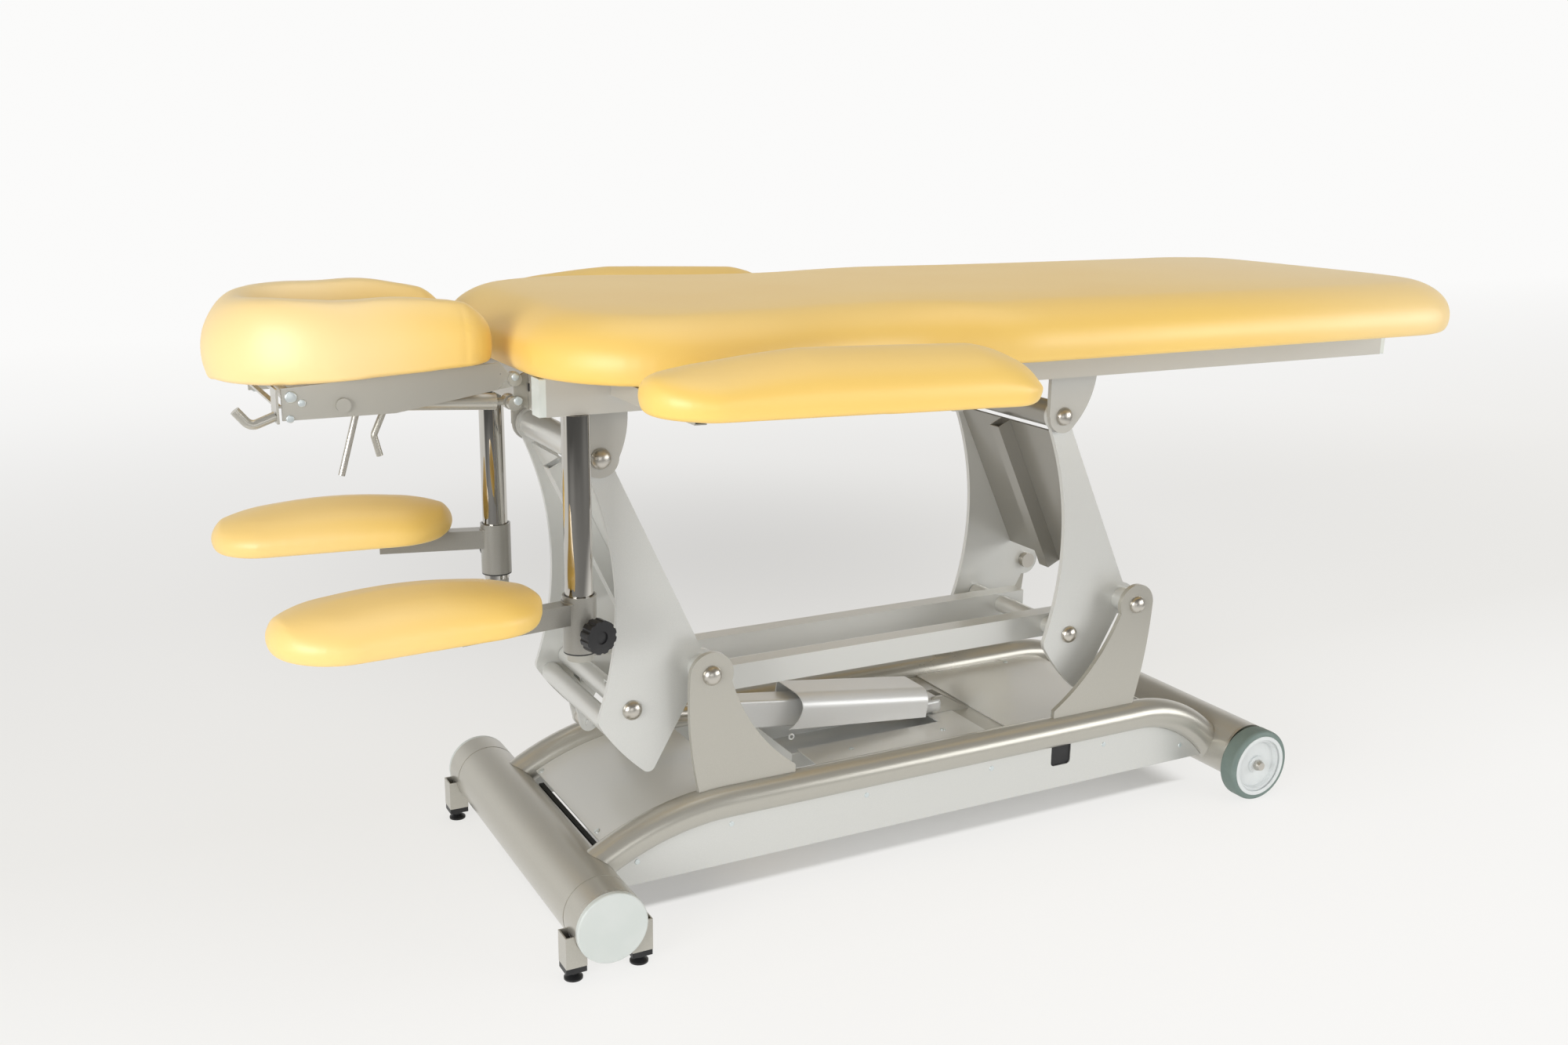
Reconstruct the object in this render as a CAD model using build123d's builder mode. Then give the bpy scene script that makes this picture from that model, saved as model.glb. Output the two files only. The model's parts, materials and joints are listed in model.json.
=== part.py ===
from build123d import *
from math import asin, cos, degrees, hypot, radians, sin, sqrt
import os

os.makedirs("parts", exist_ok=True)

# Massage table: a wheeled tube base carries two pairs of lift arms, which hold the padded top level.
# X runs from the head end to the foot end, Y from the near side to the far side, and Z up.
# The origin lies on the floor under the middle of the whole length.

# Fits and allowances
weld_gap = 0.2
touch_gap = 0.3
running_gap = 0.05
overrun = 12.0

# Base cross tubes
base_mid_x = 33.0
wheelbase = 1207.0
cross_tube_od = 101.6
cross_tube_wall = 2.5
cross_tube_z = 75.0
front_tube_half = 298.0
rear_tube_half = 231.0
seam_depth = 0.6
seam_width = 1.6
seam_from_end = 48.0
cross_tube_r = cross_tube_od / 2
cross_tube_bore = cross_tube_r - cross_tube_wall
front_x = base_mid_x - wheelbase / 2
rear_x = base_mid_x + wheelbase / 2

# End discs of the front tube
disc_thickness = 8.0
disc_round = 2.5
spigot_length = 18.0
spigot_wall = 3.0

# Legs and levelling feet
leg_width = 30.0
leg_wall = 2.0
leg_x = 47.7
leg_from_end = 21.0
leg_bottom = 22.0
leg_top = 68.0
insert_depth = 8.0
insert_plug = 10.0
foot_d = 26.0
foot_pad = 5.0
foot_neck_d = 13.0
foot_stem_d = 8.0
foot_stem = 20.0

# Side tubes
side_tube_od = 50.0
side_tube_wall = 3.0
side_tube_y = 175.0
side_tube_z = 160.0
front_bend_x = -337.0
front_bend_r = 400.0
rear_bend_x = 432.0
rear_bend_r = 219.0
bend_seat_share = 0.4
side_tube_r = side_tube_od / 2

# Cross members between the side tubes, and the sheet of the covers
sheet = 2.0
mid_rail_x = 181.0
mid_rail_width = 50.0
mid_rail_height = 30.0
mid_rail_wall = 2.0
mid_rail_seat = 5.0
front_member_x = -302.0
rear_member_x = 493.0
member_od = 30.0
member_wall = 2.0
member_drop = 24.0
front_member_dip = 40.0
front_member_flat = 55.0
front_member_run = 45.0
member_bend_r = 40.0

# Covers and skirts of the base
cover_front_end = -297.0
cover_mid_start = -157.0
cover_tail_gap = 5.0
cover_end_gap = 2.0
cover_seat_share = 0.96
cover_slot_room = 6.0
cover_slot_end = 112.0
foot_slot_end = 146.0
skirt_bottom = 60.0
skirt_y = 177.0
skirt_slot_x = 254.0
skirt_slot_width = 40.0
skirt_slot_height = 36.0
skirt_slot_r = 7.0

# Lift geometry: the base pivots, and the top and link pivots of the arms seen from them
lift_x1 = -365.0
lift_x2 = 414.0
lift_z = 359.0
arm_lean = 151.5
arm_rise = 322.8
link_back = 106.4
link_drop = 48.5
arm_span = hypot(arm_lean, arm_rise)

# Base fins
fin_inner = 171.0
fin_thickness = 8.0
fin_top_r = 34.0
front_fin_shares = [(-0.19, -0.53), (-0.12, -1.0), (0.79, -0.93), (0.36, -0.47), (0.14, 0.11)]
rear_fin_shares = [(-0.92, -0.93), (-0.47, -0.53), (-0.17, -0.05), (0.13, -0.57), (0.03, -1.0)]

# Lift arms
arm_outer = 138.0
arm_thickness = 8.0
arm_head_r = 25.0
arm_root_r = 27.0
arm_edge = 13.5
arm_corner_r = 16.0
arm_tip_r = 11.0
arm_hollow_share = (-0.358, 0.31)
arm_corner_share = (-0.446, -0.17)
arm_toe_share = (-0.353, -0.302)
arm_tip_share = (-0.222, -0.43)
arm_boss_od = 40.0
boss_gap = 0.7
arm_tube_od = 42.0
arm_tube_wall = 3.0
panel_thickness = 3.0
panel_offset = 12.0
panel_start = 50.0
panel_end_gap = 3.0
brace_size = 25.0
brace_wall = 2.0

# Pivot bolts
bolt_d = 16.0
dome_d = 26.0
dome_rise = 9.0
washer_d = 30.0
bolt_nut_d = 27.0
bolt_nut = 10.0

# Lower tube of the front arms and its lugs
low_tube_back = 28.0
low_tube_drop = 24.0
low_tube_od = 30.0
low_tube_wall = 3.0
rod_pin_back = 20.6
rod_pin_drop = 58.0
lug_thickness = 6.0
lug_r = 14.0
rod_pin_d = 12.0

# Tie bars
tie_inner = 50.0
tie_width = 30.0
tie_height = 39.0
tie_wall = 2.0
tie_past_front = 8.5
tie_past_rear = 46.0
sleeve_od = 30.0
sleeve_wall = 3.0
link_washer = 1.0

# Actuator
actuator_x = 128.0
actuator_z = 174.0
rod_d = 26.0
rod_length = 352.0
rod_neck = 18.0
rod_eye_d = 26.0
rod_eye_width = 22.0
screw_start = 248.0
screw_length = 312.0
screw_height = 46.0
screw_width = 43.0
screw_wall = 3.0
screw_round = 4.0
nose_depth = 12.0
gear_height = 48.0
gear_drop = 14.0
foot_lug_width = 26.0
foot_lug_r = 11.5
foot_pin_d = 10.0
hood_start = 342.0
hood_length = 246.0
hood_top = 37.0
hood_drop = 18.0
hood_rear_drop = 9.0
hood_width = 96.0
hood_corner_r = 22.0
hood_mouth = 14.0
cheek_thickness = 6.0
cheek_gap = 1.5
cheek_r = 15.0
cheek_foot = 34.0
cheek_room = 16.0

# Wheels
wheel_d = 125.0
wheel_width = 32.0
wheel_stand = 37.0
tyre_depth = 14.0
tyre_round = 6.0
hub_width = 26.0
hub_dish = 7.0
hub_rim = 6.0
hub_boss_d = 30.0
axle_d = 12.0
axle_seat_d = 24.0
axle_nut_d = 19.0
axle_nut_rise = 11.0
axle_nut_step = 0.6
wheel_draft = 20.0
end_plate = 4.0

# Top frame
rail_left = -607.0
rail_right = 906.0
rail_bottom = 752.0
rail_height = 50.0
rail_width = 30.0
rail_wall = 2.0
rail_outer = 196.0
rail_cap = 9.0
rail_cap_plug = 20.0
head_beam_width = 30.0
lift_beam_width = 60.0
lift_beam_height = 40.0
foot_beam_x = 800.0
lift_beam_shift = 3.5
beam_wall = 2.0
bracket_thickness = 8.0
bracket_inner = 140.7
bracket_r = 27.0
bracket_back = 28.0
bracket_side_angle = 30.0
front_bracket_toe = 38.0
rear_bracket_toe = 62.0

# Columns and lower arm rests
column_x = -564.0
column_y = 184.0
column_d = 38.0
column_wall = 2.0
column_bottom = 417.0
column_tip = 18.0
column_tip_d = 36.0
column_slit = 2.5
liner_wall = 1.4
liner_lip = 2.0
collar_wall = 2.5
collar_height = 78.0
near_collar_z = 430.0
far_collar_z = 444.0
near_arm_swing = 8.0
far_arm_swing = 13.2
arm_tube_height = 29.0
arm_tube_width = 24.0
arm_tube_drop = 9.0
arm_tube_thick = 2.0
arm_tube_reach = 174.0
knob_d = 50.0
knob_lobes = 12
knob_lobe_d = 7.0
knob_depth = 18.0
knob_stand = 12.0
knob_stud_d = 8.0
knob_nut_d = 14.0
knob_nut = 8.0
knob_drop = 48.0
knob_side_angle = 13.0
knob_dish_d = 18.0
knob_dish = 2.5
rest_length = 355.0
rest_width = 170.0
rest_height = 63.0
rest_start = 61.0

# Side arm rests
near_rest_x = -327.5
far_rest_x = -172.0
side_rest_y = 495.0
side_rest_length = 551.0
side_rest_width = 150.0
side_rest_height = 74.0
side_rest_z = 794.0
side_rest_tilt = 1.5
far_rest_rise = 12.0
side_bar_x = 180.0
side_bar_size = 16.0
side_bar_wall = 1.5
side_bar_start = 12.0
side_bar_short = 45.0
socket_wall = 3.0
socket_length = 96.0
side_plate_length = 420.0
side_plate_start = 80.0
side_plate_past = 10.0
side_plate_thickness = 4.0

# Main pad
pad_bottom = rail_bottom + rail_height + touch_gap
pad_height = 84.0
pad_foot_x = 993.0
pad_head_x = -632.0
pad_half = 348.0
pad_shoulder_half = 345.0
pad_waist_half = 300.0
pad_waist_x = -122.0
pad_waist_reach = 190.0
pad_head_r = 185.0
pad_foot_r = 160.0
pad_edge = 62.0

# Head rest
hinge_x = -627.0
hinge_z = 794.0
head_half = 130.0
head_plate = 4.0
head_plate_end = -920.0
head_knee_x = -782.0
head_plate_low = 760.0
head_plate_r = 9.5
hinge_bolt_d = 10.0
hinge_head_d = 18.0
hinge_head = 5.0
hinge_lug = 5.0
hinge_lug_r = 9.0
eye_drop = 33.0
head_bar_d = 16.0
head_bar_x = -897.0
head_bar_z = 776.0
strut_y = 108.0
strut_p_x = -847.0
strut_p_z = 775.0
strut_d = 22.0
strut_wall = 1.5
strut_length = 138.0
strut_eye_d = 20.0
strut_eye_width = 14.0
strut_rod_d = 10.0
strut_lug = 4.0
head_pad_x = -993.0
head_pad_length = 350.0
head_pad_half = 156.0
head_pad_slot = 56.0
head_pad_slot_x = -905.0
head_pad_height = 98.0
head_pad_left_z = 796.0
head_pad_tilt = 3.4
head_pad_edge = 34.0
face_plate_stand = 7.0
face_plate_width = 34.0
face_plate_thickness = 3.0
hook_d = 12.0
hook_out = 30.0
hook_tip_out = 47.0
hook_low_z = 755.0
hook_tip_z = 776.0
lever_d = 9.0
lever_x = -783.0
lever_z = 749.0
lever_y = 60.0
lever_kick = 13.0
lever_drop = 28.0
clamp_x = -816.0
clamp_z = 752.0
clamp_foot_x = -840.0
clamp_foot_z = 671.0
cross_rail_width = 24.0
cross_rail_height = 12.0


def side_plane(side, inner, outer):
    """The face towards +Y of a plate that stands between two distances from the middle plane."""
    y = outer if side > 0 else -inner
    return Plane(origin=(0, y, 0), x_dir=(1, 0, 0), z_dir=(0, -1, 0))


def bar_y(x, z, y_from, y_to, radius, mode=Mode.ADD):
    """A round bar along Y, from the lower to the higher Y."""
    with BuildSketch(Plane(origin=(x, y_to, z), x_dir=(1, 0, 0), z_dir=(0, -1, 0))) as profile:
        Circle(radius)
    extrude(profile.sketch, amount=y_to - y_from, mode=mode)


def bar_z(x, y, z_from, z_to, radius, mode=Mode.ADD):
    """An upright round bar."""
    with BuildSketch(Plane(origin=(x, y, z_from))) as profile:
        Circle(radius)
    extrude(profile.sketch, amount=z_to - z_from, mode=mode)


def block(x_from, x_to, y_from, y_to, z_from, z_to, mode=Mode.ADD):
    """A block between three pairs of limits."""
    with BuildSketch(Plane(origin=((x_from + x_to) / 2, (y_from + y_to) / 2, z_from))) as profile:
        Rectangle(x_to - x_from, y_to - y_from)
    extrude(profile.sketch, amount=z_to - z_from, mode=mode)


def span(side, inner, outer):
    """The lower and the higher Y of a piece that stands between two distances on one side."""
    return (inner, outer) if side > 0 else (-outer, -inner)


def keep(builder, name):
    """Label a finished piece and write it out."""
    builder.part.label = name
    export_step(builder.part, f"parts/{name}.step")


# Pivots
base_pivots = [(lift_x1, lift_z), (lift_x2, lift_z)]
top_pivots = [(x - arm_lean, z + arm_rise) for x, z in base_pivots]
link_pivots = [(x - link_back, z - link_drop) for x, z in base_pivots]
rod_pivot = (link_pivots[0][0] - rod_pin_back, link_pivots[0][1] - rod_pin_drop)
sides = {"near": -1, "far": 1}
fin_outer = fin_inner + fin_thickness
arm_inner = arm_outer - arm_thickness
bracket_outer = bracket_inner + bracket_thickness
cover_top = side_tube_z
cover_low = cover_top - sheet

# Front cross tube
with BuildPart() as front_cross_tube:
    bar_y(front_x, cross_tube_z, -front_tube_half, front_tube_half, cross_tube_r)
    bar_y(front_x, cross_tube_z, -front_tube_half, front_tube_half, cross_tube_bore, Mode.SUBTRACT)
    for side in sides.values():
        seam = side * (front_tube_half - seam_from_end)
        with BuildSketch(Plane(origin=(front_x, seam, cross_tube_z), x_dir=(1, 0, 0), z_dir=(0, -1, 0))):
            Circle(cross_tube_r + overrun)
            Circle(cross_tube_r - seam_depth, mode=Mode.SUBTRACT)
        extrude(amount=seam_width, both=True, mode=Mode.SUBTRACT)
keep(front_cross_tube, "front_cross_tube")

# Rear cross tube
with BuildPart() as rear_cross_tube:
    bar_y(rear_x, cross_tube_z, -rear_tube_half, rear_tube_half, cross_tube_r)
    bar_y(rear_x, cross_tube_z, -rear_tube_half, rear_tube_half, cross_tube_bore, Mode.SUBTRACT)
keep(rear_cross_tube, "rear_cross_tube")

# End discs with the ring that plugs into the tube
with BuildPart() as front_end_caps:
    face = front_tube_half
    bar_y(front_x, cross_tube_z, face, face + disc_thickness, cross_tube_r)
    fillet(front_end_caps.edges().filter_by(GeomType.CIRCLE).group_by(Axis.Y)[-1], disc_round)
    spigot_r = cross_tube_bore - weld_gap
    bar_y(front_x, cross_tube_z, face - spigot_length, face, spigot_r)
    bar_y(front_x, cross_tube_z, face - spigot_length, face, spigot_r - spigot_wall, Mode.SUBTRACT)
    mirror(about=Plane.XZ)
keep(front_end_caps, "front_end_caps")

# Legs: square tubes coped to the front cross tube
leg_y = front_tube_half - leg_from_end
leg_places = [(front_x + turn * leg_x, side * leg_y) for turn in (-1, 1) for side in (-1, 1)]
with BuildPart() as front_legs:
    with BuildSketch(Plane.XY.offset(leg_bottom)):
        with Locations(*leg_places):
            Rectangle(leg_width, leg_width)
            Rectangle(leg_width - 2 * leg_wall, leg_width - 2 * leg_wall, mode=Mode.SUBTRACT)
    extrude(amount=leg_top - leg_bottom)
    bar_y(front_x, cross_tube_z, -front_tube_half - overrun, front_tube_half + overrun,
          cross_tube_r + weld_gap, Mode.SUBTRACT)
keep(front_legs, "front_legs")

# Plastic inserts in the legs, with the bore for the foot's stem
with BuildPart() as leg_inserts:
    with BuildSketch(Plane.XY.offset(leg_bottom - insert_depth)):
        with Locations(*leg_places):
            RectangleRounded(leg_width, leg_width, leg_wall)
    extrude(amount=insert_depth)
    with BuildSketch(Plane.XY.offset(leg_bottom)):
        with Locations(*leg_places):
            Rectangle(leg_width - 2 * (leg_wall + weld_gap), leg_width - 2 * (leg_wall + weld_gap))
    extrude(amount=insert_plug)
    with BuildSketch(Plane.XY.offset(leg_bottom - insert_depth)):
        with Locations(*leg_places):
            Circle(foot_stem_d / 2 + running_gap)
    extrude(amount=insert_depth + insert_plug, mode=Mode.SUBTRACT)
keep(leg_inserts, "leg_inserts")

# Levelling feet
foot_names = ["glide_front_near", "glide_front_far", "glide_back_near", "glide_back_far"]
foot_top = leg_bottom - insert_depth - touch_gap
stem_r, neck_r, pad_r = foot_stem_d / 2, foot_neck_d / 2, foot_d / 2
for (x, y), name in zip(leg_places, foot_names):
    with BuildPart() as glide:
        with BuildSketch(Plane(origin=(x, y, 0), x_dir=(1, 0, 0), z_dir=(0, -1, 0))):
            with BuildLine():
                Polyline((0, 0), (pad_r, 0), (pad_r, foot_pad / 2), (neck_r, foot_pad * 3 / 2),
                         (neck_r, foot_top), (stem_r, foot_top), (stem_r, foot_top + foot_stem),
                         (0, foot_top + foot_stem), close=True)
            make_face()
        revolve(axis=Axis((x, y, 0), (0, 0, 1)))
    keep(glide, name)

# Side tubes: a straight run that bends down into both cross tubes
front_bend_angle = degrees(asin((front_bend_x - front_x - bend_seat_share * cross_tube_r) / front_bend_r))
rear_bend_angle = degrees(asin((rear_x - bend_seat_share * cross_tube_r - rear_bend_x) / rear_bend_r))


def side_tube(side, radius, mode=Mode.ADD):
    """A bar along the route of one side tube."""
    plane = Plane(origin=(0, side * side_tube_y, 0), x_dir=(1, 0, 0), z_dir=(0, -1, 0))
    with BuildLine(plane) as route:
        run = Line((rear_bend_x, side_tube_z), (front_bend_x, side_tube_z))
        JernArc(run @ 1, run % 1, front_bend_r, front_bend_angle)
        JernArc(run @ 0, -(run % 0), rear_bend_r, -rear_bend_angle)
    path = Wire(route.edges())
    with BuildSketch(Plane(origin=path @ 0, z_dir=path % 0)) as profile:
        Circle(radius)
    sweep(profile.sketch, path=path, mode=mode)


def cut_cross_tubes():
    """Cope a piece to both cross tubes."""
    for x in (front_x, rear_x):
        bar_y(x, cross_tube_z, -front_tube_half, front_tube_half, cross_tube_r + weld_gap, Mode.SUBTRACT)


for name, side in sides.items():
    with BuildPart() as tube:
        side_tube(side, side_tube_r)
        side_tube(side, side_tube_r - side_tube_wall, Mode.SUBTRACT)
        cut_cross_tubes()
    keep(tube, f"side_tube_{name}")

# Cross members: a square mid rail with the actuator's cheeks, a dipped front tube and a straight rear tube
front_member_z = side_tube_z - member_drop
rear_member_fall = rear_bend_r - sqrt(rear_bend_r**2 - (rear_member_x - rear_bend_x) ** 2)
rear_member_z = side_tube_z - rear_member_fall - member_drop
mid_left = mid_rail_x - mid_rail_width / 2
mid_right = mid_rail_x + mid_rail_width / 2
mid_top = cover_low - weld_gap
cheek_low = cover_top + touch_gap
cheek_mid = (cheek_low + actuator_z + cheek_r) / 2
cheek_round = actuator_z + cheek_r - cheek_mid
cheek_inner = foot_lug_width / 2 + cheek_gap
with BuildPart() as cross_members:
    y_reach = side_tube_y
    block(mid_left, mid_right, -y_reach, y_reach, mid_top - mid_rail_height, mid_top)
    block(mid_left + mid_rail_wall, mid_right - mid_rail_wall, -y_reach, y_reach,
          mid_top - mid_rail_height + mid_rail_wall, mid_top - mid_rail_wall, Mode.SUBTRACT)
    bar_y(rear_member_x, rear_member_z, -y_reach, y_reach, member_od / 2)
    bar_y(rear_member_x, rear_member_z, -y_reach, y_reach, member_od / 2 - member_wall, Mode.SUBTRACT)
    dip_plane = Plane(origin=(front_member_x, 0, front_member_z), x_dir=(0, 1, 0), z_dir=(1, 0, 0))
    dip_end = Plane(origin=(front_member_x, -y_reach, front_member_z), x_dir=(1, 0, 0), z_dir=(0, 1, 0))
    with BuildLine(dip_plane) as dip:
        low_y = front_member_flat + front_member_run
        FilletPolyline((-y_reach, 0), (-low_y, 0), (-front_member_flat, -front_member_dip),
                       (front_member_flat, -front_member_dip), (low_y, 0), (y_reach, 0),
                       radius=member_bend_r)
    with BuildSketch(dip_end):
        Circle(member_od / 2)
        Circle(member_od / 2 - member_wall, mode=Mode.SUBTRACT)
    sweep(path=dip.wire())
    for side in sides.values():
        side_tube(side, side_tube_r + weld_gap, Mode.SUBTRACT)
    for side in sides.values():
        with BuildSketch(side_plane(side, cheek_inner, cheek_inner + cheek_thickness)):
            cheek_left = mid_left + mid_rail_seat + 2 * weld_gap
            with BuildLine():
                Polyline((cheek_left, mid_top), (cheek_left + cheek_foot, mid_top),
                         (actuator_x + cheek_round, actuator_z + cheek_r),
                         (actuator_x, actuator_z + cheek_r), (actuator_x, cheek_low),
                         (cheek_left, cheek_low), close=True)
            make_face()
            with Locations((actuator_x, cheek_mid)):
                Circle(cheek_round)
            with Locations((actuator_x, actuator_z)):
                Circle(foot_pin_d / 2 + running_gap, mode=Mode.SUBTRACT)
        extrude(amount=cheek_thickness)
keep(cross_members, "cross_members")

# Fins: plates that stand on the side tubes and carry the base pivots
for name, pivot, shares in (("front_fins", base_pivots[0], front_fin_shares),
                            ("rear_fins", base_pivots[1], rear_fin_shares)):
    fin_height = lift_z - side_tube_z - side_tube_r
    points = [(pivot[0] + across * fin_height, lift_z + up * fin_height) for across, up in shares]
    with BuildPart() as fins:
        for side in sides.values():
            with BuildSketch(side_plane(side, fin_inner, fin_outer)) as profile:
                with Locations(pivot):
                    Circle(fin_top_r)
                with BuildLine():
                    if name == "front_fins":
                        ThreePointArc((pivot[0] - fin_top_r, pivot[1]), points[0], points[1])
                        Line(points[1], (points[1][0], points[1][1] - overrun))
                        Line((points[1][0], points[1][1] - overrun), (points[2][0], points[1][1] - overrun))
                        Line((points[2][0], points[1][1] - overrun), points[2])
                        ThreePointArc(points[2], points[3], points[4])
                        Line(points[4], (pivot[0] - fin_top_r, pivot[1]))
                    else:
                        ThreePointArc(points[0], points[1], points[2])
                        Line(points[2], (pivot[0] + fin_top_r, pivot[1]))
                        ThreePointArc((pivot[0] + fin_top_r, pivot[1]), points[3], points[4])
                        Line(points[4], (points[4][0], points[4][1] - overrun))
                        Line((points[4][0], points[4][1] - overrun), (points[0][0], points[4][1] - overrun))
                        Line((points[0][0], points[4][1] - overrun), points[0])
                make_face()
                with Locations(pivot):
                    Circle(bolt_d / 2 + weld_gap, mode=Mode.SUBTRACT)
            extrude(amount=fin_thickness)
            side_tube(side, side_tube_r + weld_gap, Mode.SUBTRACT)
    keep(fins, name)


# Base covers and skirts: the covers follow the side tubes' axis, the skirts their underside
cover_half = side_tube_y - side_tube_r - touch_gap
cover_ends = [
    (front_x + cross_tube_r * cover_seat_share, cover_front_end),
    (cover_mid_start, mid_left + mid_rail_seat),
    (mid_right - mid_rail_seat, rear_member_x - member_od / 2 - cover_tail_gap),
    (rear_member_x + member_od / 2 + cover_tail_gap, rear_x - cross_tube_r - cover_end_gap),
]


def tube_line(x_from, x_to, drop):
    """The side tubes' axis between two places, or a line parallel to it that lies lower."""
    def height(x):
        bend_x, radius = (front_bend_x, front_bend_r) if x < front_bend_x else (rear_bend_x, rear_bend_r)
        off = max(front_bend_x - x, x - rear_bend_x, 0)
        return side_tube_z - radius + sqrt((radius - drop) ** 2 - off**2) if off else side_tube_z - drop
    if x_from < front_bend_x:
        middle = (x_from + front_bend_x) / 2
        ThreePointArc((x_from, height(x_from)), (middle, height(middle)), (front_bend_x, side_tube_z - drop))
    line_from = min(max(x_from, front_bend_x), x_to)
    line_to = max(min(x_to, rear_bend_x), x_from)
    if line_to > line_from:
        Line((line_from, side_tube_z - drop), (line_to, side_tube_z - drop))
    if x_to > rear_bend_x:
        start = max(x_from, rear_bend_x)
        middle = (start + x_to) / 2
        ThreePointArc((start, height(start)), (middle, height(middle)), (x_to, height(x_to)))
    return (x_from, height(x_from)), (x_to, height(x_to))


with BuildPart() as base_covers:
    for x_from, x_to in cover_ends:
        with BuildLine() as edges:
            upper = tube_line(x_from, x_to, 0)
            lower = tube_line(x_from, x_to, sheet)
            Line(upper[0], lower[0])
            Line(upper[1], lower[1])
        with BuildSketch(side_plane(1, -cover_half, cover_half)) as profile:
            add(edges.edges())
            make_face()
        extrude(amount=2 * cover_half)
    cut_cross_tubes()
    slot_half = hood_width / 2 + cover_slot_room
    cover_under = cover_low - weld_gap
    block(cover_mid_start - overrun, cover_slot_end, -slot_half, slot_half, cover_under,
          cover_top + weld_gap, Mode.SUBTRACT)
    block(cover_slot_end - weld_gap, foot_slot_end, -cheek_inner, cheek_inner, cover_under,
          cover_top + weld_gap, Mode.SUBTRACT)
keep(base_covers, "base_covers")

skirt_from = front_x
skirt_to = rear_x - bend_seat_share * cross_tube_r
with BuildPart() as side_skirts:
    for side in sides.values():
        with BuildLine() as edges:
            upper = tube_line(skirt_from, skirt_to, side_tube_r + touch_gap)
            Polyline(upper[0], (skirt_from, skirt_bottom), (skirt_to, skirt_bottom), upper[1])
        with BuildSketch(side_plane(side, skirt_y - sheet / 2, skirt_y + sheet / 2)) as profile:
            add(edges.edges())
            make_face()
            slot_top = side_tube_z - side_tube_r
            with Locations((skirt_slot_x + skirt_slot_width / 2, slot_top)):
                RectangleRounded(skirt_slot_width, 2 * skirt_slot_height, skirt_slot_r, mode=Mode.SUBTRACT)
        extrude(amount=sheet)
    cut_cross_tubes()
keep(side_skirts, "side_skirts")

# Wheel axles: end plate, stub, seat and domed nut
axle_z = wheel_d / 2
wheel_outer = rear_tube_half + wheel_stand
wheel_inner = wheel_outer - wheel_width
hub_face = wheel_outer - (wheel_width - hub_width) / 2
boss_face = hub_face - hub_dish / 2
with BuildPart() as wheel_axles:
    bar_y(rear_x, cross_tube_z, rear_tube_half + weld_gap, rear_tube_half + end_plate, cross_tube_r)
    bar_y(rear_x, axle_z, rear_tube_half + end_plate, hub_face - hub_width - touch_gap, axle_seat_d / 2)
    bar_y(rear_x, axle_z, rear_tube_half - spigot_length, boss_face + touch_gap, axle_d / 2)
    nut_plane = Plane(origin=(rear_x, boss_face + touch_gap, axle_z), x_dir=(1, 0, 0), z_dir=(0, 1, 0))
    with BuildSketch(nut_plane):
        RegularPolygon(axle_nut_d / 2, 6)
    extrude(amount=axle_nut_rise / 2)
    with BuildSketch(nut_plane.offset(axle_nut_rise / 2)):
        Circle(axle_nut_d / 2 - axle_nut_step)
    extrude(amount=axle_nut_rise / 2, taper=wheel_draft)
    mirror(about=Plane.XZ)
keep(wheel_axles, "wheel_axles")

# Wheels: a dished hub and a rounded tyre
hub_r = axle_z - tyre_depth
for name, side in sides.items():
    with BuildPart() as hub:
        y_from, y_to = span(side, hub_face - hub_width, hub_face)
        bar_y(rear_x, axle_z, y_from, y_to, hub_r)
        dish = Plane(origin=(rear_x, side * hub_face, axle_z), x_dir=(1, 0, 0), z_dir=(0, -side, 0))
        with BuildSketch(dish):
            Circle(hub_r - hub_rim)
        extrude(amount=hub_dish, taper=wheel_draft, mode=Mode.SUBTRACT)
        y_from, y_to = span(side, hub_face - hub_width, boss_face)
        bar_y(rear_x, axle_z, y_from, y_to, hub_boss_d / 2)
        bar_y(rear_x, axle_z, -wheel_outer, wheel_outer, axle_d / 2 + running_gap, Mode.SUBTRACT)
    keep(hub, f"wheel_hub_{name}")
    with BuildPart() as tyre:
        y_from, y_to = span(side, wheel_inner, wheel_outer)
        bar_y(rear_x, axle_z, y_from, y_to, axle_z)
        fillet(tyre.edges().filter_by(GeomType.CIRCLE), tyre_round)
        bar_y(rear_x, axle_z, -wheel_outer, wheel_outer, hub_r + running_gap, Mode.SUBTRACT)
    keep(tyre, f"wheel_tyre_{name}")


def from_pivot(pivot, along, off):
    """A place beside the line from a base pivot to its top pivot; the offset counts towards the foot."""
    lean, rise = arm_lean / arm_span, arm_rise / arm_span
    return (pivot[0] - lean * along + rise * off, pivot[1] + rise * along + lean * off)


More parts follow.
